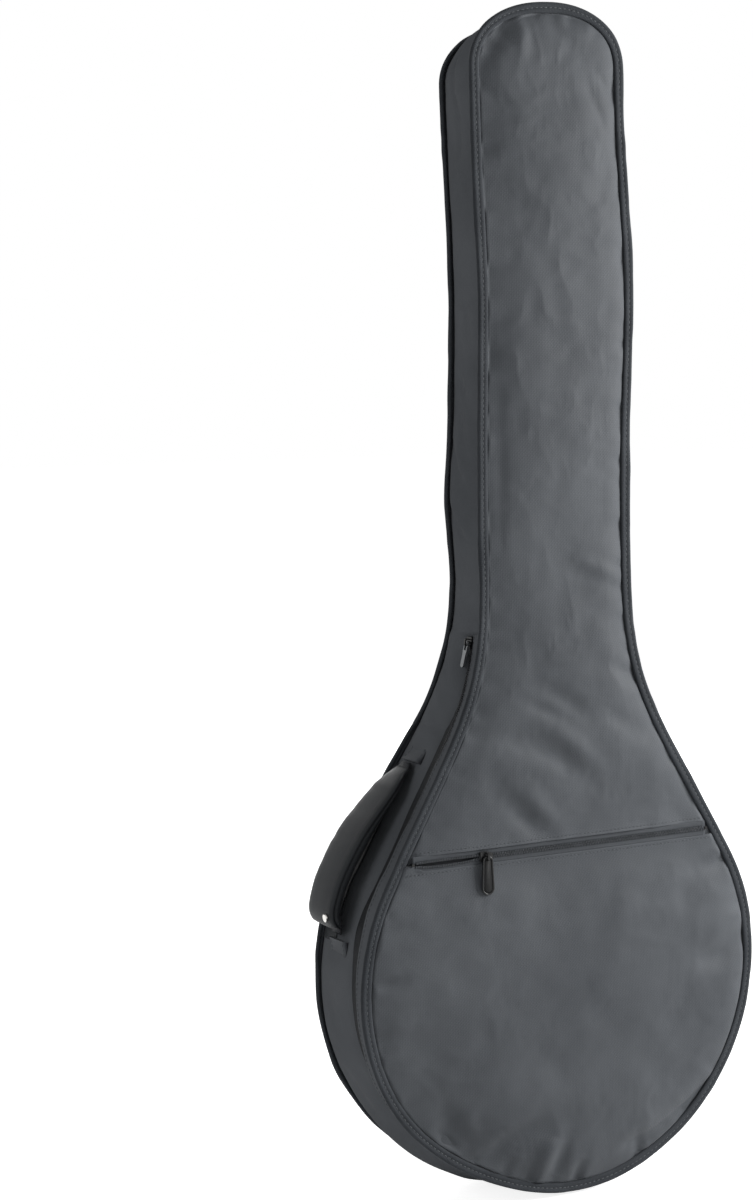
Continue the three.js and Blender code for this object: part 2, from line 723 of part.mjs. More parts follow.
function addStraps() {
  const bandHalf = seamBandWidth / 2;
  const bandY = depthAt(hangHeight - seamBandHeight / 2) + gap;
  place('strap_seam_band', boxGeometry(
    new THREE.Vector3(-bandHalf, bandY, hangHeight - seamBandHeight / 2),
    new THREE.Vector3(bandHalf, bandY + seamBandThickness, hangHeight + seamBandHeight / 2)),
  webbing());
  const half = strapWidth / 2;
  const anchor = boxGeometry(
    new THREE.Vector3(-half, -strapHem, 0),
    new THREE.Vector3(half, anchorLength - strapHem, anchorThickness));
  // The adjuster's end bars lie over the webbing, its middle bar under it
  const windowHalf = half + gap;
  const outerHalf = windowHalf + adjusterRail;
  const reach = adjusterLength / 2;
  const deep = adjusterThickness / 2;
  const clear = strapThickness / 2 + gap;
  const railAt = (low, high) => boxGeometry(
    new THREE.Vector3(low, -reach, -deep), new THREE.Vector3(high, reach, deep));
  const barAt = (y, low, high) => boxGeometry(
    new THREE.Vector3(-outerHalf + adjusterRail / 2, y - adjusterBar / 2, low),
    new THREE.Vector3(outerHalf - adjusterRail / 2, y + adjusterBar / 2, high));
  const adjuster = joined(
    railAt(-outerHalf, -windowHalf), railAt(windowHalf, outerHalf),
    barAt(reach - adjusterBar / 2, clear, deep), barAt(-reach + adjusterBar / 2, clear, deep),
    barAt(0, -deep, -clear));
  const middleY = drumDepth + strapStand + strapThickness / 2;
  for (const side of [-1, 1]) {
    const name = side < 0 ? 'left' : 'right';
    place(`shoulder_strap_${name}`, strapGeometry(side), webbing());
    place(`strap_anchor_${name}`, onStrap(anchor, side, 0, drumDepth + gap), webbing());
    place(`strap_adjuster_${name}`,
      onStrap(adjuster, side, adjusterRise, middleY), blackPlastic());
  }
}

// Carrying handle on the left of the drum: webbing between two sewn tabs, in a padded sleeve
const handleTopRise = 186;
const handleBottomRise = 42;
const handleMiddle = 62;
const handleBase = 6.8;
const handleRise = 20;
const handleSteps = 14;
const handleWebWidth = 25;
const handleWebThickness = 1.6;
const sleeveWidth = 42;
const sleeveThickness = 12;
const sleeveWall = 4;
const handleTabWidth = 30;
const handleTabLength = 26;
const handleTabThin = 1.6;
const handleTabSteps = 4;
const rivetRadius = 3.4;
const rivetHeight = 1.2;
const rivetForward = 9;
const rivetSides = 16;
const sleeveStartShare = 0.12;
const sleeveEndShare = 0.93;
const rivetShare = 0.87;
const handleHeightShares = [0, 0, 0.24, 0.55, 0.88, 1, 0.72, 0, 0];
const handlePlaceShares = [0, 0.03, 0.1, 0.28, 0.5, 0.75, 0.91, 0.97, 1];

const handleTop = drumRadius + handleTopRise;
const handleBottom = drumRadius + handleBottomRise;
const handleA = mirrored(stationAt(placeAtHeight(handleTop)));
const handleB = mirrored(stationAt(placeAtHeight(handleBottom)));
const handleChord = new THREE.Vector2(handleB.x - handleA.x, handleB.z - handleA.z);
const handleRun = handleChord.clone().normalize();
const handleOut = new THREE.Vector2(handleRun.y, -handleRun.x);

// The handle's middle line: heights above the chord at chosen places along it
const handleLine = new THREE.CatmullRomCurve3(handlePlaceShares.map((share, i) =>
  new THREE.Vector3(share * handleChord.length(), handleBase + handleRise * handleHeightShares[i], 0)),
false, 'centripetal');

function handleStation(share) {
  const at = handleLine.getPointAt(share);
  const run = handleLine.getTangentAt(share);
  const spot = new THREE.Vector2(handleA.x, handleA.z)
    .addScaledVector(handleRun, at.x).addScaledVector(handleOut, at.y);
  const out = handleOut.clone().multiplyScalar(run.x).addScaledVector(handleRun, -run.y);
  return { x: spot.x, z: spot.y, outX: out.x, outZ: out.y, depth: drumDepth };
}

// Stations inside the sleeve, which the webbing shares
const sleeveStations = Array.from({ length: handleSteps + 1 }, (_, i) =>
  handleStation(mixed(sleeveStartShare, sleeveEndShare, i / handleSteps)));

function acrossHandle(outLow, outHigh, halfWidth) {
  return rectangleSection(outLow, outHigh,
    { front: handleMiddle - halfWidth }, { front: handleMiddle + halfWidth });
}

function addHandle() {
  const webHalf = handleWebWidth / 2;
  const webRise = handleWebThickness / 2;
  const clearShare = gap / handleChord.length();
  const webStations = [
    handleStation(clearShare), handleStation(sleeveStartShare / 2), ...sleeveStations,
    handleStation((1 + sleeveEndShare) / 2), handleStation(1 - clearShare)];
  place('handle_webbing', bandGeometry(webStations,
    acrossHandle(-webRise, webRise, webHalf), false), webbing());
  // The sleeve is a folded pad: a deep channel over the webbing, closed by a flat inner lip
  const sleeveHalf = sleeveWidth / 2;
  const bevel = sleeveWall / 2;
  const under = -webRise - gap;
  const over = webRise + gap;
  const low = -sleeveThickness / 2;
  const high = sleeveThickness / 2;
  const inHalf = webHalf + gap;
  const y = (away) => ({ front: handleMiddle + away });
  const channel = [
    { out: low, ...y(-inHalf - gap) }, { out: low, ...y(-sleeveHalf + bevel) },
    { out: low + bevel, ...y(-sleeveHalf) }, { out: high - bevel, ...y(-sleeveHalf) },
    { out: high, ...y(-sleeveHalf + bevel) }, { out: high, ...y(sleeveHalf - bevel) },
    { out: high - bevel, ...y(sleeveHalf) }, { out: low + bevel, ...y(sleeveHalf) },
    { out: low, ...y(sleeveHalf - bevel) }, { out: low, ...y(inHalf + gap) },
    { out: over, ...y(inHalf) }, { out: over, ...y(-inHalf) }];
  place('handle_sleeve', bandGeometry(sleeveStations, channel, false), nylon());
  place('handle_sleeve_lip', bandGeometry(sleeveStations,
    acrossHandle(low, under, inHalf - gap), false), nylon());
  // Sewn tabs: folded webbing, thick beside the handle and thin at the far end
  const thick = handleBase + handleWebThickness / 2;
  const tabStations = (near, far) => Array.from({ length: handleTabSteps + 1 }, (_, i) =>
    mirrored(stationAt(placeAtHeight(mixed(near, far, i / handleTabSteps)))));
  const tabSection = (share) =>
    acrossHandle(gap, mixed(thick, handleTabThin, share), handleTabWidth / 2);
  place('handle_tab_upper', bandGeometry(
    tabStations(handleTop + gap, handleTop + handleTabLength), tabSection, false), webbing());
  place('handle_tab_lower', bandGeometry(
    tabStations(handleBottom - gap, handleBottom - handleTabLength), tabSection, false), webbing());
  // Rivet through the sleeve's lower end
  const rivet = new THREE.CylinderGeometry(rivetRadius, rivetRadius, rivetHeight, rivetSides);
  const seat = handleStation(rivetShare);
  const out = new THREE.Vector3(seat.outX, 0, seat.outZ);
  rivet.applyQuaternion(new THREE.Quaternion().setFromUnitVectors(new THREE.Vector3(0, 1, 0), out));
  out.multiplyScalar(high + gap + rivetHeight / 2);
  rivet.translate(seat.x + out.x, handleMiddle - rivetForward, seat.z + out.z);
  place('handle_rivet', rivet, nickel());
}

addFrontPanels();
addBackPanel();
addGussets();
addBindings();
addMainZip();
addMainSlider();
addPocket();
addStraps();
addHandle();

export default bag;
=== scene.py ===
# %% [markdown]
# # A padded gig bag for a resonator banjo
# This bag is a soft box: a front panel and a back panel of padded nylon, joined by a padded
# band called the gusset. The panels are sewn to the gusset with the seam outside, and a folded
# woven tape binds each seam. Round the drum a long zip splits the gusset, so that the lower
# front opens as a flap. Everything here is drawn in millimetres, with the front face at y = 0
# and the lowest point at z = 0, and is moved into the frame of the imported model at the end.

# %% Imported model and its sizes
import math

import bpy
import numpy as np
from mathutils import Matrix, Vector
from mathutils.kdtree import KDTree


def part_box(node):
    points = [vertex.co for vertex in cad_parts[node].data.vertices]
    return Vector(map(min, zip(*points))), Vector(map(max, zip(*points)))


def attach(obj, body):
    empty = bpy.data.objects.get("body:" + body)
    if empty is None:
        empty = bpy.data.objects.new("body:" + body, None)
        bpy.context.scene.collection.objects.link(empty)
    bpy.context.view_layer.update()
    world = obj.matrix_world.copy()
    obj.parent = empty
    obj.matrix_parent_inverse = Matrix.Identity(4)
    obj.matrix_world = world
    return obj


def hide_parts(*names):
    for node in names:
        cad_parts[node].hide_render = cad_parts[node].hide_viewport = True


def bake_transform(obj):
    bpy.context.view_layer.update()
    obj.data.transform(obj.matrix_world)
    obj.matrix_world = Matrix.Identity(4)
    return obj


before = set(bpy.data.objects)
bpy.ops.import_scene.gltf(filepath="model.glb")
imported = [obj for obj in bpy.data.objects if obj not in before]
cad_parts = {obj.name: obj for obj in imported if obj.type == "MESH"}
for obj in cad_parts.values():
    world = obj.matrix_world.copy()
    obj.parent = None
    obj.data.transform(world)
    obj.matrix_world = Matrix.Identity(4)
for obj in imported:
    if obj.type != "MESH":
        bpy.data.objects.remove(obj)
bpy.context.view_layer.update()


def box_mm(node):
    """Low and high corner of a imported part, in millimetres."""
    low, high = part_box(node)
    return np.array(low) * 1000, np.array(high) * 1000


neck_low, neck_high = box_mm("front_neck_shell")
flap_low, flap_high = box_mm("flap_shell")
drum_low, drum_high = box_mm("back_lower_shell")
HANG_HEIGHT = -flap_low[2]
NECK_DEPTH = -flap_low[1]
BAG_LENGTH = neck_high[2] + HANG_HEIGHT
DRUM_RADIUS = flap_high[0]
DRUM_DEPTH = drum_high[1] + NECK_DEPTH
FOLD_HEIGHT = flap_high[2] + HANG_HEIGHT
print(f"bag {BAG_LENGTH:.0f} long, drum radius {DRUM_RADIUS:.0f}, depth {DRUM_DEPTH:.0f} "
      f"to {NECK_DEPTH:.0f}, fold at {FOLD_HEIGHT:.0f} mm")

# %% [markdown]
# The outline is one smooth line: a round drum, two hollow flanks, a straight neck and a soft
# arch. A painter would trace it, but a formula for each stretch keeps the line fair, and any
# point of it can be found again when the bindings, zips and bands are laid along it.

# %% Outline of the bag
NECK_HALF = 65
SHOULDER_ANGLE = math.radians(28.9)
SHOULDER_LEAD = 155
NECK_TAIL = 116
NECK_START = 540
ARCH_RISE = 45
ARCH_ROUNDNESS = 2.27
TAPER_START = 308
TAPER_END = 534


def bowed(corners, share):
    """A curve from the first corner, setting off toward the second, that reaches the fourth
    from the third."""
    weights = [(1 - share) ** 3, 3 * (1 - share) ** 2 * share,
               3 * (1 - share) * share ** 2, share ** 3]
    return sum(weight * np.array(corner, float) for weight, corner in zip(weights, corners))


def right_edge(count=400):
    """Points (x, z) up the right half of the outline, from the bottom to the top."""
    angle = np.linspace(-math.pi / 2, SHOULDER_ANGLE, count)
    arc = DRUM_RADIUS * np.stack([np.cos(angle), 1 + np.sin(angle)], 1)
    lead = np.array([-math.sin(SHOULDER_ANGLE), math.cos(SHOULDER_ANGLE)]) * SHOULDER_LEAD
    flank = bowed([arc[-1], arc[-1] + lead, (NECK_HALF, NECK_START - NECK_TAIL),
                   (NECK_HALF, NECK_START)], np.linspace(0, 1, count)[1:, None])
    turn = np.linspace(0, math.pi / 2, count)
    power = 2 / ARCH_ROUNDNESS
    arch = np.stack([NECK_HALF * np.clip(np.cos(turn), 0, 1) ** power,
                     BAG_LENGTH - ARCH_RISE + ARCH_RISE * np.sin(turn) ** power], 1)
    return np.vstack([arc, flank, arch])


EDGE = right_edge()


def half_width(z):
    return np.interp(z, EDGE[:, 1], EDGE[:, 0])


def depth_at(z):
    """The bag is deep at the drum and narrows to the neck."""
    share = np.clip((np.asarray(z, float) - TAPER_START) / (TAPER_END - TAPER_START), 0, 1)
    return DRUM_DEPTH + (NECK_DEPTH - DRUM_DEPTH) * (1 - np.cos(math.pi * share)) / 2


def edge_between(low, high):
    inside = EDGE[(EDGE[:, 1] > low) & (EDGE[:, 1] < high)]
    ends = [np.array([[half_width(z), z]]) for z in (low, high)]
    return np.vstack([ends[0], inside, ends[1]])


def mirrored(line):
    return line * [-1, 1]


def round_drum(top):
    """From the left at that height, down round the drum, and up to the right."""
    right = edge_between(0, top)
    return np.vstack([mirrored(right)[::-1], right[1:]])


def over_neck(bottom):
    """From the right at that height, up over the arch, and down to the left."""
    right = edge_between(bottom, BAG_LENGTH)
    return np.vstack([right, mirrored(right)[::-1][1:]])


def all_round():
    return np.vstack([EDGE, mirrored(EDGE)[::-1][1:]])


def stepped(line, step, measured=None):
    """The same line with its points an even step apart, counted in its first columns."""
    lengths = np.r_[0, np.cumsum(np.linalg.norm(np.diff(line[:, :measured], axis=0), axis=1))]
    count = max(round(lengths[-1] / step), 2)
    at = np.linspace(0, lengths[-1], count + 1)
    return np.stack([np.interp(at, lengths, line[:, k]) for k in range(line.shape[1])], 1)


def unit(rows):
    """Each row as a direction: the same way, with a length of 1."""
    return rows / np.linalg.norm(rows, axis=1)[:, None]


def outward(line, closed=False):
    """The way out of the bag at each point of a line along the outline."""
    if closed:
        line = np.vstack([line[-1:], line, line[:1]])
    run = unit(np.gradient(line, axis=0))
    away = np.stack([run[:, 1], -run[:, 0]], 1)
    return away[1:-1] if closed else away


def facing_out(line):
    """The same way, with a depth of nothing between its two numbers."""
    away = outward(line)
    return np.stack([away[:, 0], 0 * away[:, 0], away[:, 1]], 1)


def laid_along(line, out, y, closed=False):
    """Points at a distance out of the line and at a depth y: rows follow the line."""
    away = outward(line, closed)
    out = np.broadcast_to(out, (len(line), np.shape(out)[-1]))
    y = np.broadcast_to(y, out.shape)
    return np.stack([line[:, :1] + away[:, :1] * out, y, line[:, 1:] + away[:, 1:] * out], 2)


print(f"outline: {np.linalg.norm(np.diff(all_round(), axis=0), axis=1).sum():.0f} mm round")

# %% [markdown]
# Cloth is never flat. Three things make it look like cloth: slow waves with no pattern, faint
# crumples left from being packed away, and single folds that start at a seam or a corner and
# die away. The waves come from smooth random numbers with a fixed seed, so that every run gives
# the same bag. The crumples are made from the same numbers: where a wave passes through nothing
# it makes a narrow ridge, and between the ridges the cloth is nearly flat, as a crumpled sheet
# is. The folds are placed one by one, each as a line with a width and a height, the way a
# sculptor presses them into clay.

# %% Waves, crumples and folds
def waves(a, b, cell, seed):
    """Smooth random height from -1 to 1, with bumps about as far apart as the cell."""
    size = 64
    grid = np.random.default_rng(seed).uniform(-1, 1, (size, size))
    u, v = np.broadcast_arrays(np.asarray(a, float) / cell, np.asarray(b, float) / cell)
    i, j = np.floor(u).astype(int), np.floor(v).astype(int)
    s, t = u - i, v - j
    s, t = s * s * (3 - 2 * s), t * t * (3 - 2 * t)
    near = grid[i % size, j % size] * (1 - s) + grid[(i + 1) % size, j % size] * s
    far = grid[i % size, (j + 1) % size] * (1 - s) + grid[(i + 1) % size, (j + 1) % size] * s
    return near * (1 - t) + far * t


def creases(a, b, cell, seed):
    """Crumpled cloth: low facets that meet in narrow ridges, from -1 to 1."""
    bent = waves(a, b, cell * 1.7, seed + 1) * cell * 0.5
    ridges = 1 - 2 * np.abs(waves(a + bent, b - bent, cell, seed)) ** 0.8
    return ridges * (0.5 + 0.5 * waves(a, b, cell * 3, seed + 2))


def fold(a, b, start, end, width, height, bend=0.0):
    """One soft fold: a ridge, or a groove where the height is negative, that fades at its ends.
    bend bows its line to one side by that share of its length."""
    start, end = np.array(start, float), np.array(end, float)
    run = end - start
    length = np.hypot(*run)
    run /= length
    along = (a - start[0]) * run[0] + (b - start[1]) * run[1]
    share = np.clip(along / length, 0, 1)
    side = -(a - start[0]) * run[1] + (b - start[1]) * run[0]
    side = side - bend * length * 4 * share * (1 - share)
    past = np.maximum(np.maximum(-along, along - length), 0)
    fade = 0.35 + 0.65 * np.sin(math.pi * np.clip(share, 0.02, 0.98)) ** 0.7
    return height * fade * np.exp(-(side / width) ** 2 - (past / (1.5 * width)) ** 2)


def folds(a, b, strokes):
    return sum(fold(a, b, *stroke) for stroke in strokes)


print("waves of seed 1 at the origin:", round(float(waves(0, 0, 1, 1)), 3))

# %% [markdown]
# A mesh of cloth is a grid of points: rows one way, columns the other. The grid also gives the
# cloth its own measure, kept as a UV map in metres, so that a weave drawn in millimetres keeps
# its size and follows the cloth round every bend. A real cloth has a thickness, which the
# Solidify modifier adds on the side away from the eye.
#
# Two pieces of cloth pass from the neck to the flap. On the bag the panel and its binding bend at
# the fold over a short stretch, and the strip of the gusset, held at its rear edge by the zip's end
# and at its front edge by the panel, bends aslant. Here neither is bent: each only has its placement baked into
# its points.

# %% Grids to meshes
ROW_STEP = 3.0
ZIP_LINE = 26
STITCH_LENGTH = 3.2
FINISHES = {}


def easing(value, start, end):
    share = np.clip((value - start) / (end - start), 0, 1)
    return share * share * (3 - 2 * share)


def settled(points):
    """A hung soft bag sits a little crooked: the neck leans to the right and is pinched above
    the drum, its back edge drops at the top, and low on the left the front seam is drawn in."""
    x, y, z = np.moveaxis(np.array(points, float), -1, 0)
    neck = np.exp(-((z - 770) / 105) ** 2)
    pinch = np.exp(-((z - 600) / 45) ** 2) * easing(-x, 30, 62) * easing(y, 15, 50)
    moved_x = 4.5 * neck + 3 * neck * easing(x, 0, 60) - 4 * pinch
    drop = -15 * easing(z, 880, 990) * easing(y, 5, NECK_DEPTH)
    turn = np.arctan2(z - DRUM_RADIUS, x)
    low_left = np.exp(-((turn + 2.05) / 0.42) ** 2) * easing(y, 26, 0)
    low_left = low_left * easing(np.hypot(x, z - DRUM_RADIUS), DRUM_RADIUS - 60, DRUM_RADIUS - 5)
    return np.stack([x + moved_x - 7 * low_left * np.cos(turn), y,
                     z + drop - 7 * low_left * np.sin(turn)], -1)


def to_row(points):
    """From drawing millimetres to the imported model's frame, in metres."""
    return (settled(points) - [0, NECK_DEPTH, HANG_HEIGHT]) / 1000


def placed(name, data):
    """A new object in the scene."""
    thing = bpy.data.objects.new(name, data)
    bpy.context.scene.collection.objects.link(thing)
    return thing


def from_parts(name, points, faces, finish, nodes=()):
    """A new object from points in drawing millimetres, with its finish."""
    mesh = bpy.data.meshes.new(name)
    mesh.from_pydata(to_row(points).tolist(), [], faces)
    mesh.validate()
    mesh.polygons.foreach_set("use_smooth", [True] * len(mesh.polygons))
    piece = placed(name, mesh)
    material, slot = FINISHES[finish]
    mesh.materials.append(material)
    if nodes:
        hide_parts(*nodes)
    return piece


def cloth_measure(piece, grid):
    """Keeps how far each point lies along and across the cloth, in metres."""
    rows, cols = grid.shape[:2]
    step_along = np.linalg.norm(np.diff(grid[:, cols // 2], axis=0), axis=1)
    along = np.repeat(np.r_[0, np.cumsum(step_along)][:, None], cols, 1)
    step_across = np.linalg.norm(np.diff(grid, axis=1), axis=2)
    across = np.hstack([np.zeros((rows, 1)), np.cumsum(step_across, axis=1)])
    across = across - across[:, cols // 2][:, None]
    measure = np.stack([across, along], 2).reshape(-1, 2) / 1000
    layer = piece.data.uv_layers.new(name="cloth")
    corners = np.zeros(len(piece.data.loops), np.int32)
    piece.data.loops.foreach_get("vertex_index", corners)
    layer.data.foreach_set("uv", measure[np.minimum(corners, len(measure) - 1)].ravel())


def sheet_of(name, grid, finish, nodes=(), thick=0.0, wrap=False, loop=False, ends=False):
    """A cloth surface from its grid. wrap joins the last column to the first, loop joins the
    last row to the first, and ends closes the two ends of a wrapped form."""
    rows, cols = grid.shape[:2]
    number = np.arange(rows * cols).reshape(rows, cols)
    if wrap:
        number = np.hstack([number, number[:, :1]])
    if loop:
        number = np.vstack([number, number[:1]])
    faces = np.stack([number[:-1, :-1], number[:-1, 1:], number[1:, 1:], number[1:, :-1]], 2)
    faces = faces.reshape(-1, 4)
    points = grid.reshape(-1, 3)
    corner = points[faces]
    middle = corner.mean(1)
    normal = np.cross(corner[:, 2] - corner[:, 0], corner[:, 3] - corner[:, 1])
    if wrap:
        core = grid.mean(1)
        centre = np.repeat((core + np.roll(core, -1, 0))[:len(number) - 1] / 2, cols, 0)
    else:
        inner_z = np.clip(middle[:, 2], DRUM_RADIUS, BAG_LENGTH - NECK_HALF)
        centre = np.stack([np.zeros(len(middle)), depth_at(middle[:, 2]) / 2, inner_z], 1)
    if ((middle - centre) * normal).sum() < 0:
        faces = faces[:, ::-1]
    faces = [[v for k, v in enumerate(face) if v != face[k - 1]] for face in faces.tolist()]
    if ends:
        first, last = number[0, :cols].tolist(), number[-1, :cols].tolist()
        faces += [first, last[::-1]]
    piece = from_parts(name, points, faces, finish, nodes)
    cloth_measure(piece, grid)
    if thick:
        solid = piece.modifiers.new("cloth thickness", "SOLIDIFY")
        solid.thickness = thick / 1000
        solid.offset = -1
    return piece


def across_fold(piece):
    """Bakes the piece's placement into its points; the cloth is not bent at the fold."""
    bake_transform(piece)


def into_fold(piece):
    """Bakes the piece's placement into its points; the cloth is not bent with the panel here."""
    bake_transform(piece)


def stitched(name, line, facing, finish, length=STITCH_LENGTH, space=1.3, width=0.75, height=0.55):
    """Thread lying in a seam: one small bead for each stitch, pointed at both ends."""
    line = np.asarray(line, float)
    facing = np.broadcast_to(np.asarray(facing, float), line.shape)
    both = stepped(np.hstack([line, facing]), length + space, 3)
    line, up = both[:, :3], both[:, 3:]
    run = unit(np.gradient(line, axis=0))
    up = unit(up - (up * run).sum(1)[:, None] * run)
    side = np.cross(run, up)
    bead = [(-0.5, 0, -0.2)] + [(s, a, b) for s in (-0.32, 0.32)
                                for a, b in ((1, 0), (0, 1), (-1, 0), (0, -1))] + [(0.5, 0, -0.2)]
    points = np.stack([line + run * s * length + side * a * width / 2 + up * b * height / 2
                       for s, a, b in bead], 1)
    faces = [(0, k + 1, (k + 1) % 4 + 1) for k in range(4)]
    faces += [(k + 1, k + 5, (k + 1) % 4 + 5, (k + 1) % 4 + 1) for k in range(4)]
    faces += [(9, (k + 1) % 4 + 5, k + 5) for k in range(4)]
    faces = [[v + 10 * n for v in face] for n in range(len(line)) for face in faces]
    return from_parts(name, points.reshape(-1, 3), faces, finish)


print(f"cloth rows every {ROW_STEP:.0f} mm, stitches {STITCH_LENGTH} mm long")

# %% [markdown]
# Materials are built from nodes. One function adds a node with what feeds its inputs, another
# does a step of arithmetic, and a third turns a colour as a designer writes it into the linear
# numbers that light works with.

# %% Node and colour helpers
def linear(hex_colour):
    """An sRGB hex colour as linear red, green, blue and an alpha of 1."""
    shares = [int(hex_colour[k:k + 2], 16) / 255 for k in (1, 3, 5)]
    return [s / 12.92 if s <= 0.04045 else ((s + 0.055) / 1.055) ** 2.4 for s in shares] + [1]


def add_node(tree, kind, inputs=None, **properties):
    """Adds a node. Each input is linked to another node's output or holds a plain value."""
    node = tree.nodes.new(kind)
    for key, value in properties.items():
        setattr(node, key, value)
    for key, source in (inputs or {}).items():
        if isinstance(source, bpy.types.NodeSocket):
            tree.links.new(source, node.inputs[key])
        else:
            node.inputs[key].default_value = source
    return node


def reckon(tree, operation, *values):
    """One step of arithmetic on outputs and plain numbers."""
    return add_node(tree, "ShaderNodeMath", dict(enumerate(values)), operation=operation).outputs[0]


def new_finish(key, slot, name):
    """An empty material for a finish, and the record's slot that it belongs to."""
    material = bpy.data.materials.new(name)
    material.use_nodes = True
    material.node_tree.nodes.clear()
    FINISHES[key] = (material, slot)
    return material.node_tree


def in_threads(tree, spacing):
    """The cloth's own measure, counted in threads of that spacing in millimetres."""
    measure = add_node(tree, "ShaderNodeUVMap", uv_map="cloth")
    return add_node(tree, "ShaderNodeVectorMath",
                    {0: measure.outputs[0], "Scale": 1000 / spacing}, operation="SCALE").outputs[0]


def rounded_thread(tree, threads, axis):
    """Height of round threads laid side by side along one axis."""
    split = add_node(tree, "ShaderNodeSeparateXYZ", {0: threads})
    turn = reckon(tree, "MULTIPLY", split.outputs[axis], math.pi)
    return reckon(tree, "ABSOLUTE", reckon(tree, "SINE", turn))


def noise(tree, scale, **more):
    """Soft random clouds over the object, with more bumps to the metre at a larger scale."""
    place = add_node(tree, "ShaderNodeTexCoord")
    inputs = {"Vector": place.outputs["Object"], "Scale": scale}
    inputs.update({key.title(): value for key, value in more.items()})
    return add_node(tree, "ShaderNodeTexNoise", inputs).outputs[0]


def clouds(tree, low, high, scale):
    """Uneven colour between two shades, in soft clouds, and the clouds themselves."""
    cloud = noise(tree, scale, detail=4.0, roughness=0.55)
    shade = add_node(tree, "ShaderNodeValToRGB", {0: cloud})
    for stop, position, colour in zip(shade.color_ramp.elements, (0.32, 0.68), (low, high)):
        stop.position = position
        stop.color = linear(colour)
    return shade.outputs[0], cloud


def bumpy(tree, height, depth, strength):
    """The surface's direction where a height in millimetres roughens it."""
    return add_node(tree, "ShaderNodeBump", {
        "Height": height, "Strength": strength, "Distance": depth / 1000}).outputs[0]


def cloth_surface(tree, colour, height, depth, strength, rough, sheen, ior=1.33, gloss=0.3):
    """The surface of a cloth: a bumpy, slightly shiny body with the glow of fine fibres."""
    cloth = add_node(tree, "ShaderNodeBsdfPrincipled", {
        "Base Color": colour, "Normal": bumpy(tree, height, depth, strength),
        "Roughness": rough, "IOR": ior, "Specular IOR Level": gloss,
        "Sheen Weight": sheen, "Sheen Roughness": 0.4})
    add_node(tree, "ShaderNodeOutputMaterial", {"Surface": cloth.outputs[0]})
    return cloth


print("dark grey", [round(value, 3) for value in linear("#44474b")[:3]])

# %% [markdown]
# The panels and the gusset are coated woven nylon, a cloth of coarse filament yarns with a
# satin face. The yarns are about half a millimetre apart, too fine to show here, so the weave
# is drawn at 1.5 mm. In a plain weave each yarn passes over one neighbour and under the next:
# a chequer pattern picks which set is on top, and a wave across each set rounds the yarns.
# The gusset is the same cloth without the gloss, since seen along its length a glossy weave would
# glitter, and its colour is painted lighter, as painted light for the reflection it no longer has.

# %% Woven nylon
NYLON_THREAD = 1.5
LINING_THREAD = 1.2


def woven(key, slot, name, thread, low, high, depth, strength, rough, sheen, gloss=0.3):
    tree = new_finish(key, slot, name)
    threads = in_threads(tree, thread)
    over = add_node(tree, "ShaderNodeTexChecker", {"Vector": threads, "Scale": 1.0})
    weave = add_node(tree, "ShaderNodeMix", {
        0: over.outputs["Fac"], 2: rounded_thread(tree, threads, 0),
        3: rounded_thread(tree, threads, 1)})
    colour, cloud = clouds(tree, low, high, 9.0)
    surface = cloth_surface(tree, colour, weave.outputs[0], depth, strength, rough, sheen,
                            gloss=gloss)
    dull = add_node(tree, "ShaderNodeMapRange", {
        0: cloud, "From Min": 0.3, "From Max": 0.7, "To Min": rough - 0.06, "To Max": rough + 0.06})
    tree.links.new(dull.outputs[0], surface.inputs["Roughness"])


woven("nylon", "nylon", "coated woven nylon", NYLON_THREAD,
      "#44474b", "#505357", 0.25, 0.3, 0.58, 0.06)
# Painted light: the panels' nylon made lighter, to stand in for the light that the missing gloss would reflect.
woven("side_nylon_painted_lighter", "nylon", "coated woven nylon, without gloss, painted lighter", NYLON_THREAD,
      "#5a5d61", "#676a6e", 0.25, 0.3, 0.58, 0.06, gloss=0.0)
# The grip's dark cloth covers the handle, and laid on the gusset under the handle it is a painted shadow.
woven("grip", "nylon", "coated woven nylon, darker", NYLON_THREAD,
      "#1c1e21", "#26292c", 0.25, 0.35, 0.5, 0.12)
woven("tab", "webbing", "folded nylon tab", NYLON_THREAD,
      "#44474b", "#505357", 0.25, 0.3, 0.58, 0.06)
# This dark lining is used only behind the pocket's mouth, where its darkness is also painted shade.
woven("lining", "lining", "woven polyester lining", LINING_THREAD,
      "#1b1d20", "#26282c", 0.2, 0.3, 0.6, 0.1)
woven("padding", "foam", "lined foam padding", LINING_THREAD,
      "#1d1f22", "#282a2e", 0.2, 0.3, 0.7, 0.1)
print("woven nylon drawn with threads", NYLON_THREAD, "mm apart")

# %% [markdown]
# Tape and webbing are woven narrow goods: threads run along them, and thicker ones across make
# ribs. The binding is a soft matt tape, the webbing is thick polypropylene, and the zip's tape
# is thin polyester. Ribs are about 0.6 mm apart on the tape and 1.2 mm on the webbing, drawn at
# 1.6 and 2.2 mm so that they show.

# %% Narrow woven goods
TAPE_RIB = 1.6
WEBBING_RIB = 2.2
ZIP_TAPE_RIB = 1.4


def ribbed(key, slot, name, rib, low, high, depth, strength, rough, sheen):
    tree = new_finish(key, slot, name)
    across = rounded_thread(tree, in_threads(tree, rib), 1)
    along = rounded_thread(tree, in_threads(tree, rib / 2), 0)
    colour, _ = clouds(tree, low, high, 25.0)
    height = reckon(tree, "MULTIPLY", across, along)
    cloth_surface(tree, colour, height, depth, strength, rough, sheen)


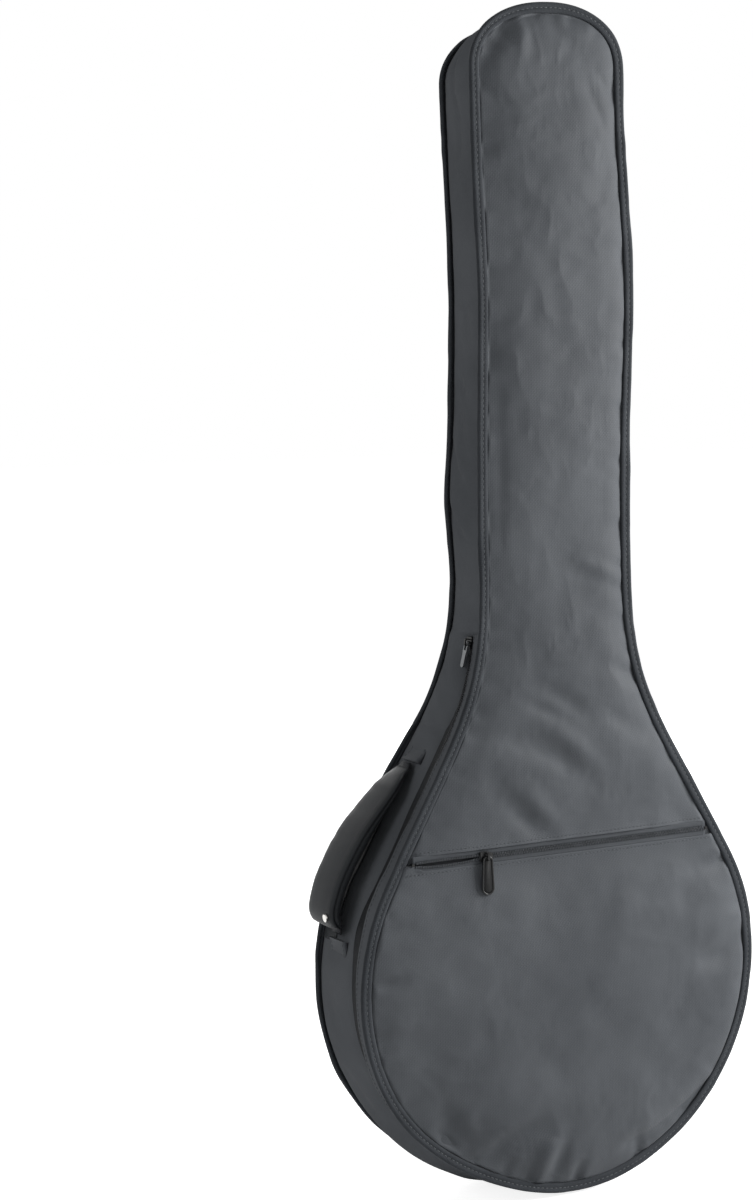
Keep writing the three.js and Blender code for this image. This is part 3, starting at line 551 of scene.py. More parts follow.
ribbed("binding", "binding", "woven binding tape", TAPE_RIB,
       "#2e3135", "#3a3d41", 0.3, 0.5, 0.75, 0.04)
ribbed("webbing", "webbing", "polypropylene webbing", WEBBING_RIB,
       "#43454a", "#505257", 0.5, 0.6, 0.62, 0.1)
# Black webbing. Its darkness also stands as painted shade where the handle's core shows at its ends.
ribbed("black_web_and_painted_shade", "webbing", "polypropylene webbing, black", WEBBING_RIB,
       "#1f2124", "#2a2c30", 0.5, 0.6, 0.62, 0.06)
# The main zip's tape is black, and its darkness also stands as painted shade in the slit beside the flap.
ribbed("zip_tape", "zip_tape", "woven zip tape", ZIP_TAPE_RIB,
       "#141618", "#1d1f22", 0.2, 0.4, 0.7, 0.1)
ribbed("pocket_tape", "zip_tape", "woven zip tape, grey", ZIP_TAPE_RIB,
       "#3b3e42", "#46494d", 0.2, 0.4, 0.6, 0.1)
print("ribs drawn", TAPE_RIB, WEBBING_RIB, ZIP_TAPE_RIB, "mm apart")

# %% [markdown]
# The zip's teeth are a coil of nylon wire, dyed with the tape, and the sewing thread is glossy
# polyester, a little lighter than the tape that it holds. Both are smooth plastics, so they
# need no weave, only a low roughness and a faint unevenness.

# %% Coil wire and thread
def smooth_plastic(key, slot, name, low, high, rough, scale, ior=1.5):
    tree = new_finish(key, slot, name)
    colour, cloud = clouds(tree, low, high, scale)
    cloth_surface(tree, colour, cloud, 0.05, 0.2, rough, 0.0, ior)


# The main zip's coil is black, and its darkness also stands as painted shade in the slit beside the flap.
smooth_plastic("coil", "zip_tape", "nylon zip coil", "#191b1e", "#27292d", 0.35, 120.0)
smooth_plastic("pocket_coil", "zip_tape", "nylon zip coil, grey",
               "#3c3f43", "#4a4d51", 0.45, 120.0)
smooth_plastic("thread", "binding", "polyester thread", "#424548", "#4f5255", 0.5, 160.0)
smooth_plastic("nylon_thread", "nylon", "thread on nylon", "#3b3e42", "#4a4d51", 0.5, 160.0)
smooth_plastic("plastic", "plastic", "moulded acetal", "#17181a", "#212225", 0.38, 60.0, 1.48)
print("smooth plastics: coils, threads and adjusters")

# %% [markdown]
# The sliders and the pocket's puller are die-cast zinc painted black, glossy on what stands out
# and matt in the puller's sunken field, where nothing rubs it. The rivet is nickel-plated, a
# bright warm white metal, and so is the small puller, worn to a duller grey. All get fine
# unevenness in their gloss, because no small casting is perfectly smooth.

# %% Painted zinc and nickel
def metal(key, slot, name, colour, rough, metallic):
    tree = new_finish(key, slot, name)
    grain = noise(tree, 350.0, detail=3.0)
    gloss = add_node(tree, "ShaderNodeMapRange", {
        0: grain, "To Min": rough - 0.05, "To Max": rough + 0.08})
    body = add_node(tree, "ShaderNodeBsdfPrincipled", {
        "Base Color": linear(colour), "Metallic": metallic, "Roughness": gloss.outputs[0],
        "IOR": 1.4, "Normal": bumpy(tree, grain, 0.1, 0.15)})
    add_node(tree, "ShaderNodeOutputMaterial", {"Surface": body.outputs[0]})


metal("black_metal", "black_metal", "die-cast zinc painted black", "#0b0c0d", 0.28, 0.0)
metal("black_matt", "black_metal", "die-cast zinc painted matt black", "#090a0b", 0.75, 0.0)
metal("nickel", "nickel", "nickel-plated zinc", "#d5d3cf", 0.2, 1.0)
metal("worn_nickel", "nickel", "nickel-plated zinc, worn", "#77797b", 0.42, 1.0)
print(len(FINISHES), "finishes")

# %% [markdown]
# The front panel is padded cloth held down at its bound edge, so it is crowned: it rises from
# the binding in a short curve and is nearly flat in the middle. Near the seam the thread gathers
# the cloth into small puckers. A cushion maker would simulate this; here the height is worked
# out from the distance to the seam, because the folds then stay where the photographed bag has
# them. Below the pocket's mouth the same cloth goes on, flat, behind the pocket.

# %% Distance to the seam
RIM = stepped(all_round(), 1.5)
rim_tree = KDTree(len(RIM))
for number, (x, z) in enumerate(RIM):
    rim_tree.insert((x, 0, z), number)
rim_tree.balance()


def to_rim(x, z):
    """How far each point is from the outline, and how far round the outline that is."""
    near = [rim_tree.find((a, 0, b)) for a, b in zip(x.ravel(), z.ravel())]
    distance = np.array([n[2] for n in near]).reshape(x.shape)
    inside = np.abs(x) < half_width(z)
    return np.where(inside, distance, 0), np.array([n[1] for n in near]).reshape(x.shape) * 1.5


def puckers(distance, around, seed, height=0.8, reach=13):
    """Small folds square to the seam, gathered by its stitches."""
    fine = waves(around, distance * 0.3, 9, seed)
    fine = fine + 0.6 * waves(around, distance * 0.3, 21, seed + 1)
    return height * fine * np.exp(-distance / reach) * np.clip(distance / 2, 0, 1)


# %% Front panel
POCKET_MOUTH = 298
CLOTH_EDGE = 5.8
PANEL_FOLDS = [
    ((-23, 998), (-26, 968), 7, 1.5), ((-6, 998), (26, 972), 8, -1.8),
    ((-38, 992), (-66, 952), 8, -2.4), ((-66, 938), (-46, 930), 4, -1.0),
    ((-64, 915), (-30, 914), 4, -0.8), ((-54, 884), (-10, 858), 11, -1.1, 0.1),
    ((-60, 854), (-18, 836), 12, -1.1), ((46, 950), (58, 936), 4, -1.0),
    ((38, 935), (52, 906), 5, -1.0), ((47, 905), (52, 845), 10, -1.2),
    ((20, 542), (58, 528), 6, 1.2), ((18, 532), (56, 518), 6, -0.9),
    ((-55, 691), (-52, 554), 6, -0.9), ((10, 680), (22, 600), 14, 0.8),
    ((-18, 438), (22, 412), 8, -2.2), ((-34, 425), (0, 410), 6, -1.6),
    ((-58, 398), (22, 356), 11, -3.2, 0.06), ((-12, 402), (30, 370), 8, 2.0),
    ((-60, 347), (-18, 311), 10, -2.8), ((-42, 352), (-6, 318), 8, 2.0),
    ((54, 448), (80, 432), 8, -2.0), ((42, 412), (84, 387), 9, -1.9)]


def panel_rows(low, high, step):
    """Heights of the rows: close together where the outline runs level."""
    return np.unique(np.round(stepped(edge_between(low, high), step)[:, 1], 3))


def panel_grid(heights, columns, inset=0.0):
    share = np.linspace(-1, 1, columns)
    z = np.repeat(heights[:, None], columns, 1)
    return (half_width(z) - inset) * share, z


def swollen(x, z, distance, reach, edge):
    """The stuffing has settled to the right: from 0 to 1, slowly from the left edge, and
    quickly near any seam."""
    from_left = np.clip((x + half_width(z)) / reach, 0, 1)
    return (0.25 + 0.75 * (1 - (1 - from_left) ** 2)) * (1 - np.exp(-distance / edge))


def mouth_edge(x):
    """How far the cloth's edge is from the zip's middle: near the left seam the mouth is closed."""
    return 0.6 + (CLOTH_EDGE - 0.6) * easing(x + half_width(POCKET_MOUTH), 5, 17)


def front_y(x, z):
    distance, around = to_rim(x, z)
    drum = easing(z, 560, 400)
    crown = (7.2 + 3.0 * drum) * swollen(x, z, distance, 55 + 60 * drum, 12 + 8 * drum)
    crown = crown * (0.3 + 0.7 * easing(z, 306, 390))
    slow = 1.3 * waves(x, z, 60, 3) + 0.5 * waves(x + z, z - x, 27, 4) + 0.2 * waves(x - z, z, 12, 7)
    loose = np.clip(distance / 20, 0, 1)
    slow = slow + 0.55 * creases(x * 1.2, z, 26, 13) + 0.22 * creases(x, z * 1.3, 11, 17)
    height = crown + slow * loose + folds(x, z, PANEL_FOLDS)
    height = height + puckers(distance, around, 11, 1.3)
    above = z - POCKET_MOUTH - mouth_edge(x)
    lip = 1.9 * np.exp(-np.clip(above, 0, None) / 9) * np.clip(distance / 3, 0, 1)
    cover = easing(above, -0.4, 0.6)
    return 0.9 - cover * (height + lip + 0.6)


edge_rows = POCKET_MOUTH + CLOTH_EDGE + np.array([-5.7, -4.9, -4.1, -3.3, -2.5, -1.7, -1.1, -0.5, -0.2, 0.0,
                                                 0.3, 0.6, 1.2, 2.2])
heights = np.unique(np.r_[panel_rows(0.3, BAG_LENGTH - 0.3, 3), edge_rows])
x, z = panel_grid(heights, 117)
front_panel = sheet_of("front_panel", np.stack([x, front_y(x, z), z], 2), "nylon",
                       ["front_neck_shell", "flap_shell"], thick=1.0)
print("front panel:", len(front_panel.data.vertices), "points")
across_fold(front_panel)

# %% [markdown]
# The pocket is a second layer of cloth over the lower drum, sewn into the same seam. Things go
# in behind it, so it is cut a little full and bellies out. Its weight pulls tucks into the
# bottom edge. Its upper edge is folded in and stitched to the zip's lower tape.

# %% Pocket panel
POCKET_TOP = POCKET_MOUTH - CLOTH_EDGE
POCKET_FOLDS = [
    ((130, 184), (182, 196), 12, -3.0, -0.1), ((140, 208), (184, 214), 10, 1.3),
    ((138, 264), (170, 267), 8, -1.5), ((62, 28), (144, 68), 5, -2.6, -0.05),
    ((56, 40), (134, 80), 9, 1.3), ((70, 32), (77, 3), 6, -2.2),
    ((-31, 5), (-14, 46), 9, 3.0, 0.1), ((-92, 30), (-14, 60), 14, -3.4, 0.08),
    ((-15, 8), (-6, 40), 7, -2.0), ((8, 1), (14, 22), 6, -1.5),
    ((-92, 38), (-129, 100), 12, -2.2, 0.1), ((-103, 31), (-66, 57), 8, 1.8),
    ((-183, 244), (-155, 246), 5, -1.6), ((-187, 198), (-160, 202), 5, -2.0),
    ((-187, 153), (-167, 155), 6, -1.5), ((-126, 60), (-112, 44), 4, -1.8)]


def pocket_y(x, z):
    distance, around = to_rim(x, z)
    below = np.clip(POCKET_TOP - z, 0, None)
    belly = 10.3 * swollen(x, z, distance, 105, 20) * (1 - np.exp(-(below / 48) ** 1.5))
    slow = 1.6 * waves(x, z, 64, 5) + 0.8 * waves(x + z, z - x, 30, 6) + 0.2 * waves(x - z, z, 12, 8)
    loose = np.clip(distance / 22, 0, 1) * easing(below, 2, 30)
    lip = 1.9 * np.exp(-below / 9) * np.clip(distance / 3, 0, 1)
    turned = 2.0 * np.clip(1 - below / 0.8, 0, 1) ** 2
    slow = slow + 0.6 * creases(x, z * 1.2, 30, 23) + 0.22 * creases(x * 1.3, z, 12, 27)
    height = belly + slow * loose + 1.35 * folds(x, z, POCKET_FOLDS) * easing(below, 0, 12)
    height = height + puckers(distance, around, 21, 1.5, 16) + lip - turned
    return -0.4 - np.clip(distance / 2, 0, 1) * 0.6 - height


edge_rows = POCKET_TOP - np.array([0, 0.2, 0.5, 0.9, 1.6, 2.6])
heights = np.unique(np.r_[panel_rows(0.3, POCKET_TOP, 3), edge_rows])
x, z = panel_grid(heights, 125)
raised = (CLOTH_EDGE - mouth_edge(x)) * easing(z, POCKET_TOP - 14, POCKET_TOP)
pocket_panel = sheet_of("pocket_panel_cloth", np.stack([x, pocket_y(x, z), z + raised], 2), "nylon",
                        ["pocket_panel"], thick=0.9)
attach(pocket_panel, "flap")
print("pocket panel:", len(pocket_panel.data.vertices), "points")

# %% [markdown]
# A zip is two tapes, each with a coil of wire along its edge. The turns of one coil sit between
# the turns of the other. Each turn shows as a short rounded bar across the line, so a coil is
# drawn as a row of beads, one for each turn. A real pocket coil has a turn every 1.2 mm, drawn
# at 1.6 mm. Left of the slider the pocket is a little open, so its lower tape sags away.

# %% Pocket zip
COIL_TURN = 1.6


def coil_half(name, line, across, facing, finish, nodes=()):
    """One half of a zip's teeth: a bead for each turn, square to the line."""
    line = np.asarray(line, float)
    run = unit(np.gradient(line, axis=0))
    across = np.broadcast_to(across, line.shape)
    facing = np.broadcast_to(facing, line.shape)
    around = [(math.cos(k * math.pi / 3), math.sin(k * math.pi / 3)) for k in range(6)]
    rings = [(0.0, 0.6), (0.25, 1.0), (0.75, 1.0), (1.0, 0.55)]
    points = np.stack([line + across * (reach * 2.3 - 0.2) + run * (c * size * 0.55)
                       + facing * (s * size * 0.75)
                       for reach, size in rings for c, s in around], 1)
    faces = [tuple(range(6)), tuple(range(23, 17, -1))]
    faces += [(r * 6 + k, r * 6 + (k + 1) % 6, r * 6 + 6 + (k + 1) % 6, r * 6 + 6 + k)
              for r in range(3) for k in range(6)]
    faces = [[v + 24 * n for v in face] for n in range(len(line)) for face in faces]
    return from_parts(name, points.reshape(-1, 3), faces, finish, nodes)


pocket_half = half_width(POCKET_MOUTH + CLOTH_EDGE) - 1.5
x = np.arange(-pocket_half + 3, pocket_half - 3, COIL_TURN)
slit = np.clip(np.sin(math.pi * np.clip((x + 146) / 64, 0, 1)), 0, 1) ** 0.6


def along_mouth(x, drop, y):
    return np.stack([x, np.full_like(x, y), POCKET_MOUTH + drop], 1)


for side, name, node in ((1, "upper", "pocket_zip_upper_tape"), (-1, "lower", "pocket_zip_lower_tape")):
    open_by = side * slit * (0.5 if side > 0 else 2.4)
    step = COIL_TURN / 2 * (side > 0)
    coil = coil_half(f"pocket_{name}_coil", along_mouth(x + step, open_by + side * 0.15, -3.1),
                     (0, 0, side), (0, -1, 0), "pocket_coil")
    share = np.linspace(0, 1, 8)
    band_x = np.linspace(-pocket_half, pocket_half, 190)
    opening = np.interp(band_x, x, open_by)[:, None]
    z = POCKET_MOUTH + opening + side * (0.3 + share * 6.2)
    y = -2.3 - 0.35 * np.sin(math.pi * share) + 0 * z
    tape = np.stack([np.repeat(band_x[:, None], 8, 1), y, z], 2)
    tape = sheet_of(f"pocket_{name}_tape", tape, "pocket_tape", [node], thick=0.6)
    for piece in (coil, tape):
        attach(piece, "flap")

share = np.linspace(0, 1, 6)
band_x = np.linspace(-pocket_half + 2, pocket_half - 2, 60)
grid = np.stack(np.broadcast_arrays(band_x[:, None], 0.15, POCKET_MOUTH - 12 + share * 20), 2)
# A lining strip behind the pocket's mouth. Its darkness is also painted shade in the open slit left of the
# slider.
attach(sheet_of("pocket_mouth_lining_painted_shade", grid, "lining", thick=0.3), "flap")

for name, drop, y in (("pocket_upper_topstitch", CLOTH_EDGE + 3.2, None), ("pocket_lower_topstitch", -CLOTH_EDGE - 3.2, None)):
    line_x = np.linspace(-half_width(POCKET_MOUTH + drop) + 5, half_width(POCKET_MOUTH + drop) - 5, 200)
    z = np.full_like(line_x, POCKET_MOUTH + drop)
    y = (front_y if drop > 0 else pocket_y)(line_x, z) - 0.12
    thread = stitched(name, np.stack([line_x, y, z], 1), (0, -1, 0), "nylon_thread",
                      2.6, 1.2, 0.6, 0.4)
    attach(thread, "flap")
print("pocket zip:", len(x), "turns a side")

# %% [markdown]
# The binding is a woven tape folded over the raw edges of the seam and sewn through, so it
# stands out from the bag like a fin, with a shallow channel where the thread pulls it in. The
# fin is swept round the outline as a closed section. Its stitches are beads laid in the channel.

# %% Binding tapes
BINDING_SECTION = [
    (0.1, -0.7), (1.2, -1.35), (2.8, -1.6), (3.9, -1.3), (4.6, -1.0), (5.3, -1.3), (6.4, -1.6),
    (7.8, -1.6), (8.8, -1.0), (9.3, 0.2), (9.0, 1.5), (8.0, 2.2), (6.4, 2.35), (5.3, 2.0),
    (4.6, 1.7), (3.9, 2.0), (2.8, 2.3), (1.2, 2.1), (0.1, 1.4)]
FIN_FOOT = 1.4


def binding_tape(name, line, face_at, turned, nodes, loop, seed, folded=1.0, tilt=0.0):
    """face_at gives the panel's face at each height; turned is 1 in front and -1 at the back.
    folded shortens the fin where it is pressed down. A tilt below nothing leans it on to the
    gusset, all round but beside the handle, which swings past it there."""
    line = stepped(line, 3)
    if loop:
        line = line[:-1]
    section = np.array(BINDING_SECTION)
    place = np.arange(len(line))[:, None] * 3.0
    lean = 0.7 * waves(place, 0, 34, seed) + 0.35 * waves(place, 0, 11, seed + 1)
    swell = 1 + 0.06 * waves(place, 0, 47, seed + 2)
    out = section[None, :, 0] * swell * folded
    y = section[None, :, 1] + lean * (section[None, :, 0] / 9.3) ** 2
    height = line[:, 1] - DRUM_RADIUS
    beside_handle = easing(height, 0, 30) * easing(height, 225, 195) * (line[:, 0] < 0)
    turn = tilt * (1 - beside_handle)[:, None]
    out, y = (out * np.cos(turn) + (y - FIN_FOOT) * np.sin(turn),
              FIN_FOOT + (y - FIN_FOOT) * np.cos(turn) - out * np.sin(turn))
    face = face_at(line[:, 1])[:, None]
    grid = laid_along(line, out, face + turned * y)
    tape = sheet_of(name, grid, "binding", nodes, wrap=True, loop=loop, ends=not loop)
    channel = grid[:, 4] + [0, -0.15 * turned, 0]
    return tape, channel


front_binding, channel = binding_tape(
    "front_binding", all_round(), lambda z: 0 * z, 1, ["front_binding_neck", "flap_binding"], True, 31)
across_fold(front_binding)
front_stitches = stitched("front_binding_stitches", channel, (0, -1, 0), "thread", width=0.9)
across_fold(front_stitches)
back_binding, channel = binding_tape(
    "back_binding_tape", all_round(), depth_at, -1, ["back_binding"], True, 41, 0.72, -0.5)
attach(back_binding, "shell")
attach(stitched("back_binding_stitches", channel, (0, 1, 0), "thread", width=0.9), "shell")

# %% [markdown]
# The gusset goes right round the bag. Over the neck it runs from seam to seam. Round the drum
# its front part belongs to the flap, on the other side of the zip, so here it starts behind the
# zip. Its cloth is fuller than its padding, so it wrinkles across and lengthways. The row where
# the zip ends steps back from the front seam to the zip within a few millimetres.

# %% Gusset cloth
HANDLE_TOP = DRUM_RADIUS + 186
HANDLE_BOTTOM = DRUM_RADIUS + 42
HANDLE_MIDDLE = 62
GUSSET_FOLDS = [
    ((972, 29), (948, 35), 2.6, -1.8), ((948, 35), (916, 25), 2.4, -2.0), ((918, 25), (880, 26), 2.4, -1.6),
    ((972, 22), (930, 24), 6, 1.2), ((760, 28), (730, 23), 4.5, -2.0), ((703, 39), (684, 30), 4, -1.5),
    ((676, 44), (652, 31), 4.5, -1.7), ((640, 50), (610, 29), 5, -2.1), ((586, 52), (564, 29), 4.5, -2.0),
    ((590, 42), (566, 22), 4, 1.3), ((645, 40), (618, 22), 5, 1.2), ((402, 72), (403, 34), 3.5, -1.5),
    ((430, 60), (414, 40), 5, 1.0), ((470, 44), (446, 40), 6, 1.6), ((455, 52), (440, 44), 4, -1.2),
    ((206, 80), (150, 60), 8, -1.6), ((120, 70), (70, 52), 8, -1.4), ((330, 88), (280, 84), 5, 1.0)]


def gusset_out(x, z, y, front, rear, seed):
    """How far the cloth stands out of the outline: full between its seams, with its wrinkles."""
    share = np.clip((y - front) / (rear - front), 0, 1)
    sewn = np.exp(-((z - HANDLE_TOP - 4) / 16) ** 2) + np.exp(-((z - HANDLE_BOTTOM + 4) / 16) ** 2)
    under = easing(z, HANDLE_BOTTOM - 15, HANDLE_BOTTOM + 15)
    under = under * easing(z, HANDLE_TOP + 10, HANDLE_TOP - 10)
    sewn = (sewn + 0.7 * under) * (x < 0) * np.exp(-((y - HANDLE_MIDDLE) / 30) ** 4)
    belly = 6.4 * np.sin(math.pi * share ** 1.2) ** 0.7 * (1 - 0.85 * np.clip(sewn, 0, 1))
    belly = belly + 4.5 * np.exp(-((np.arctan2(z - DRUM_RADIUS, x) + 2.05) / 0.45) ** 2) * np.sin(math.pi * share)
    around = np.where(x < 0, -z, z) + np.abs(x)
    slow = 1.5 * waves(around, y, 38, seed) + 0.9 * waves(around, y * 0.5, 16, seed + 1)
    slow = slow + 0.6 * creases(around, y, 22, seed + 3)
    gathers = 0.5 * waves(around, y * 0.2, 8, seed + 2) * np.cos(math.pi * share) ** 2
    left = np.where(x < 0, folds(z, y, GUSSET_FOLDS), 0) * 1.4
    right = np.where(x > 0, folds(z + 23, y, GUSSET_FOLDS), 0)
    wrinkles = (slow + gathers) * np.sin(math.pi * share) ** 0.8
    return belly + (wrinkles + left + right) * (1 - 0.8 * np.clip(sewn, 0, 1))


line = stepped(all_round(), 3)[:-1]
line_out = outward(line, closed=True)
share = (1 - np.cos(math.pi * np.linspace(0, 1, 37))) / 2
behind_zip = easing(line[:, 1], FOLD_HEIGHT + 1, FOLD_HEIGHT - 4)[:, None]
start = 1.0 + (ZIP_LINE + 2.6 - 1.0) * behind_zip
gape = easing(line[:, 1], 428, 388) * (0.35 + 0.65 * easing(line[:, 1], 40, 170))
gape = gape * (0.72 + 0.28 * waves(np.arange(len(line)) * 3.0, 0, 42, 63))
gape = gape + 0.5 * np.exp(-((line[:, 1] - 245) / 32) ** 2)
start = start + 10.5 * gape[:, None] * np.where(line[:, :1] < 0, 1, 0.4)
end = depth_at(line[:, 1])[:, None] - 1.5
y = start + (end - start) * share
x, z = line[:, :1] + 0 * y, line[:, 1:] + 0 * y
out = gusset_out(x, z, y, start, end, 51)
out = out - 3.2 * np.exp(-share * 11) * easing(line[:, 1], FOLD_HEIGHT, FOLD_HEIGHT - 40)[:, None]
grid = laid_along(line, out, y, closed=True)
gusset = sheet_of("gusset_cloth", grid, "side_nylon_painted_lighter", ["gusset_neck_shell", "gusset_drum_shell"],
                  thick=0.9, loop=True)
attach(gusset, "shell")
print("gusset:", len(gusset.data.vertices), "points")

# %% [markdown]
# Under the handle the gusset lies in the handle's shade, and a dark band is painted there as a
# painted shadow: a sheet of the handle's dark cloth. It is taken for a patch of the handle's
# own cloth, sewn on where knuckles rub the gusset; that is a guess. It is the gusset's grid
# between the tabs, lifted by less than a millimetre, so it follows every wrinkle under it.

# %% Painted shadow under the handle
PAINTED_SHADOW_TOP = HANDLE_TOP - 2
PAINTED_SHADOW_BOTTOM = HANDLE_BOTTOM - 6
PAINTED_SHADOW_COLUMNS = slice(19, 34)
PAINTED_SHADOW_STAND = 0.7
in_handle_shade = (line[:, 0] < 0) & (line[:, 1] < PAINTED_SHADOW_TOP) & (line[:, 1] > PAINTED_SHADOW_BOTTOM)
lifted = grid + PAINTED_SHADOW_STAND * np.stack([line_out[:, 0], 0 * line_out[:, 0], line_out[:, 1]], 1)[:, None]
# Painted shadow: a sheet of dark cloth where the handle's shade falls on the gusset.
painted_shadow = sheet_of("painted_shadow_under_handle", lifted[in_handle_shade][:, PAINTED_SHADOW_COLUMNS], "grip", thick=0.6)
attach(painted_shadow, "shell")
print(f"patch under the handle: {PAINTED_SHADOW_TOP - PAINTED_SHADOW_BOTTOM:.0f} mm high")

# %% [markdown]
# The flap's strip is the narrow front part of the gusset. Its free edge is turned in and sewn
# beside the zip, and it stands away from the bag like the edge of a lid, most of all low on the
# drum, so that it hides the zip from the front and leaves a dark slit.

# %% Flap strip and main zip
line = stepped(round_drum(FOLD_HEIGHT), 3)
share = np.linspace(0, 1, 13)
low_down = easing(line[:, 1], 430, 250)[:, None] * (0.55 + 0.45 * easing(line[:, 1], 20, 120)[:, None])
place = np.arange(len(line))[:, None] * 3.0
flare = low_down * 2.6 + 0.9 * waves(place, 0, 40, 61)
edge_y = ZIP_LINE - 2.4 + 1.5 * low_down
y = 1.5 + (edge_y - 1.5) * share
out = 0.6 + flare * share ** 2.2 + 1.3 * np.sin(math.pi * share) + 0.5 * waves(place, share * 20, 12, 62)
curl = share > 0.99
out = np.where(curl, out - 0.8, out)
strip = sheet_of("flap_strip", laid_along(line, out, y), "side_nylon_painted_lighter", ["flap_gusset_strip"],
                 thick=0.9)
into_fold(strip)
seam = laid_along(line, out[:, -3:-2] + 0.2, y[:, -3:-2])[:, 0]
into_fold(stitched("flap_strip_stitches", seam, facing_out(line), "nylon_thread"))

MAIN_COIL_TURN = 1.9
turns = stepped(round_drum(FOLD_HEIGHT - 1), MAIN_COIL_TURN)
facing = facing_out(turns)
share = np.linspace(0, 1, 6)
for side, name, body, node in ((-1, "front", "flap", "main_zip_front_tape"),
                               (1, "rear", "shell", "main_zip_rear_tape")):
    teeth = laid_along(turns, np.array([-0.6]), np.array([ZIP_LINE + side * 0.1]))[:, 0]
    if side > 0:
        teeth = (teeth + np.roll(teeth, -1, 0))[:-1] / 2
    coil = coil_half(f"main_{name}_coil", teeth, (0, side, 0), facing[:len(teeth)], "coil")
    reach = 11 if side < 0 else 19
    tape = laid_along(line, np.full(6, -1.7), ZIP_LINE + side * (0.3 + share * reach))
    tape = sheet_of(f"main_{name}_tape", tape, "zip_tape", [node], thick=0.7)
    for piece in (coil, tape):
        if body == "flap":
            into_fold(piece)
        else:
            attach(piece, body)
print("main zip:", len(turns), "turns a side")

# %% [markdown]
# The back panel is drawn as the front one is, as one sheet, though its cloth is in two pieces.
# They meet at a cross seam on the neck, drawn as a dent with two rows of stitches, which also
# holds the shoulder straps. Where the shallow neck meets the deep drum the back is hollow, and
# the cloth folds across there.

# %% Back panel
BACK_FOLDS = [
    ((-64, 466), (60, 452), 7, -2.2, 0.05), ((-70, 440), (-8, 452), 8, 1.6), ((4, 425), (84, 446), 9, 1.3),
    ((-96, 402), (-30, 392), 9, -1.3), ((30, 372), (104, 392), 10, -1.4), ((-63, 720), (-30, 700), 7, -1.0),
    ((62, 805), (30, 780), 8, -1.1), ((-62, 905), (-34, 900), 5, -1.0), ((64, 930), (40, 920), 5, -1.0),
    ((-25, 996), (-20, 968), 7, 1.2), ((14, 998), (24, 970), 8, -1.3), ((-60, 40), (-40, 76), 10, -1.8),
    ((20, 6), (14, 40), 7, -1.8), ((86, 26), (66, 60), 9, 1.6), ((150, 90), (120, 110), 9, -1.6),
    ((-170, 130), (-140, 140), 7, -1.5), ((176, 214), (146, 220), 6, -1.5)]
CROSS_SEAM = HANG_HEIGHT


def back_y(x, z):
    distance, around = to_rim(x, z)
    drum = easing(z, 560, 400)
    crown = (3.0 + 3.5 * drum) * (1 - np.exp(-distance / (13 + 18 * drum)))
    slow = 1.4 * waves(x, z, 50, 71) + 0.8 * waves(x + z, z - x, 24, 72)
    loose = np.clip(distance / 20, 0, 1)
    seam = 1.6 * np.exp(-((z - CROSS_SEAM) / 3.2) ** 2)
    gather = 0.5 * waves(x, 0, 7, 73) * np.exp(-np.abs(z - CROSS_SEAM) / 14)
    height = crown + slow * loose + 1.4 * folds(x, z, BACK_FOLDS)
    height = height + puckers(distance, around, 74, 1.2)
    return depth_at(z) - 0.9 + height - seam + gather


heights = panel_rows(0.3, BAG_LENGTH - 0.3, 3)
x, z = panel_grid(heights, 101)
back_panel = sheet_of("back_panel_cloth", np.stack([x, back_y(x, z), z], 2), "nylon",
                      ["back_upper_shell", "back_lower_shell"], thick=1.0)
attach(back_panel, "shell")
line_x = np.linspace(-NECK_HALF + 3, NECK_HALF - 3, 80)
for number, rise in enumerate((-14.5, 14.5)):
    z = np.full_like(line_x, CROSS_SEAM + rise)
    seam = np.stack([line_x, back_y(line_x, z) + 0.1, z], 1)
    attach(stitched(f"cross_seam_stitches_{number}", seam, (0, 1, 0), "nylon_thread"), "shell")
print("back panel:", len(back_panel.data.vertices), "points")

# %% [markdown]
# The shoulder straps are polypropylene webbing, 38 mm wide. Each leaves the cross seam, bows
# away from the back and is sewn down low on the drum under a folded anchor, with a moulded
# adjuster threaded on it. Webbing is stiff across and bends only along its length, so a strap
# is a flat ribbon swept along one curve, with edges a little thinner than its middle.

# %% Shoulder straps
STRAP_HALF = 19
STRAP_SPACING = 74
STRAP_LEAN = math.radians(17.9)
STRAP_KNEE = np.array([DRUM_RADIUS / 2, DRUM_RADIUS + 84])
STRAP_FOOT_HEIGHT = DRUM_RADIUS - 68
STRAP_BOW = 14
STRAP_STAND = 4
run = np.array([math.sin(STRAP_LEAN), -math.cos(STRAP_LEAN)])
STRAP_FOOT = STRAP_KNEE + run * (STRAP_KNEE[1] - STRAP_FOOT_HEIGHT) / math.cos(STRAP_LEAN)


def strap_line():
    """The strap's middle line (x, z, y) from the cross seam to below its anchor."""
    top = np.array([STRAP_SPACING / 2, CROSS_SEAM - 10.3])
    lead = (top[1] - STRAP_KNEE[1]) / 3
    share = np.linspace(0, 1, 120)[:, None]
    curve = bowed([top, top - [0, lead], STRAP_KNEE - run * lead, STRAP_KNEE], share)
    stand = 0.3 + (STRAP_STAND - 0.3) * share + STRAP_BOW * np.sin(math.pi * share) ** 2
    curve = np.hstack([curve, depth_at(curve[:, 1:]) + stand])
    foot = STRAP_FOOT + run * 9.5
    straight = np.linspace(0, 1, 60)[1:, None]
    tail = np.hstack([STRAP_KNEE + (foot - STRAP_KNEE) * straight,
                      np.full((59, 1), DRUM_DEPTH + STRAP_STAND)])
    return stepped(np.vstack([curve, tail]), 3)


def ribbon_grid(line, half, thick, side):
    """A flat woven ribbon as a closed section along a line (x, z, y)."""
    across = -outward(line[:, :2])
    share = np.linspace(-1, 1, 13)
    thin = 0.5 * np.sqrt(np.clip(1 - np.abs(share) ** 6, 0, 1)) * thick
    share, rise = np.r_[share, share[-2:0:-1]], np.r_[thin, -thin[-2:0:-1]]
    cup = 0.5 * share ** 2
    x = line[:, :1] + across[:, :1] * share * half
    z = line[:, 1:2] + across[:, 1:] * share * half
    y = line[:, 2:] + thick / 2 + rise + cup * 0.4
    return np.stack([side * x, y, z], 2)


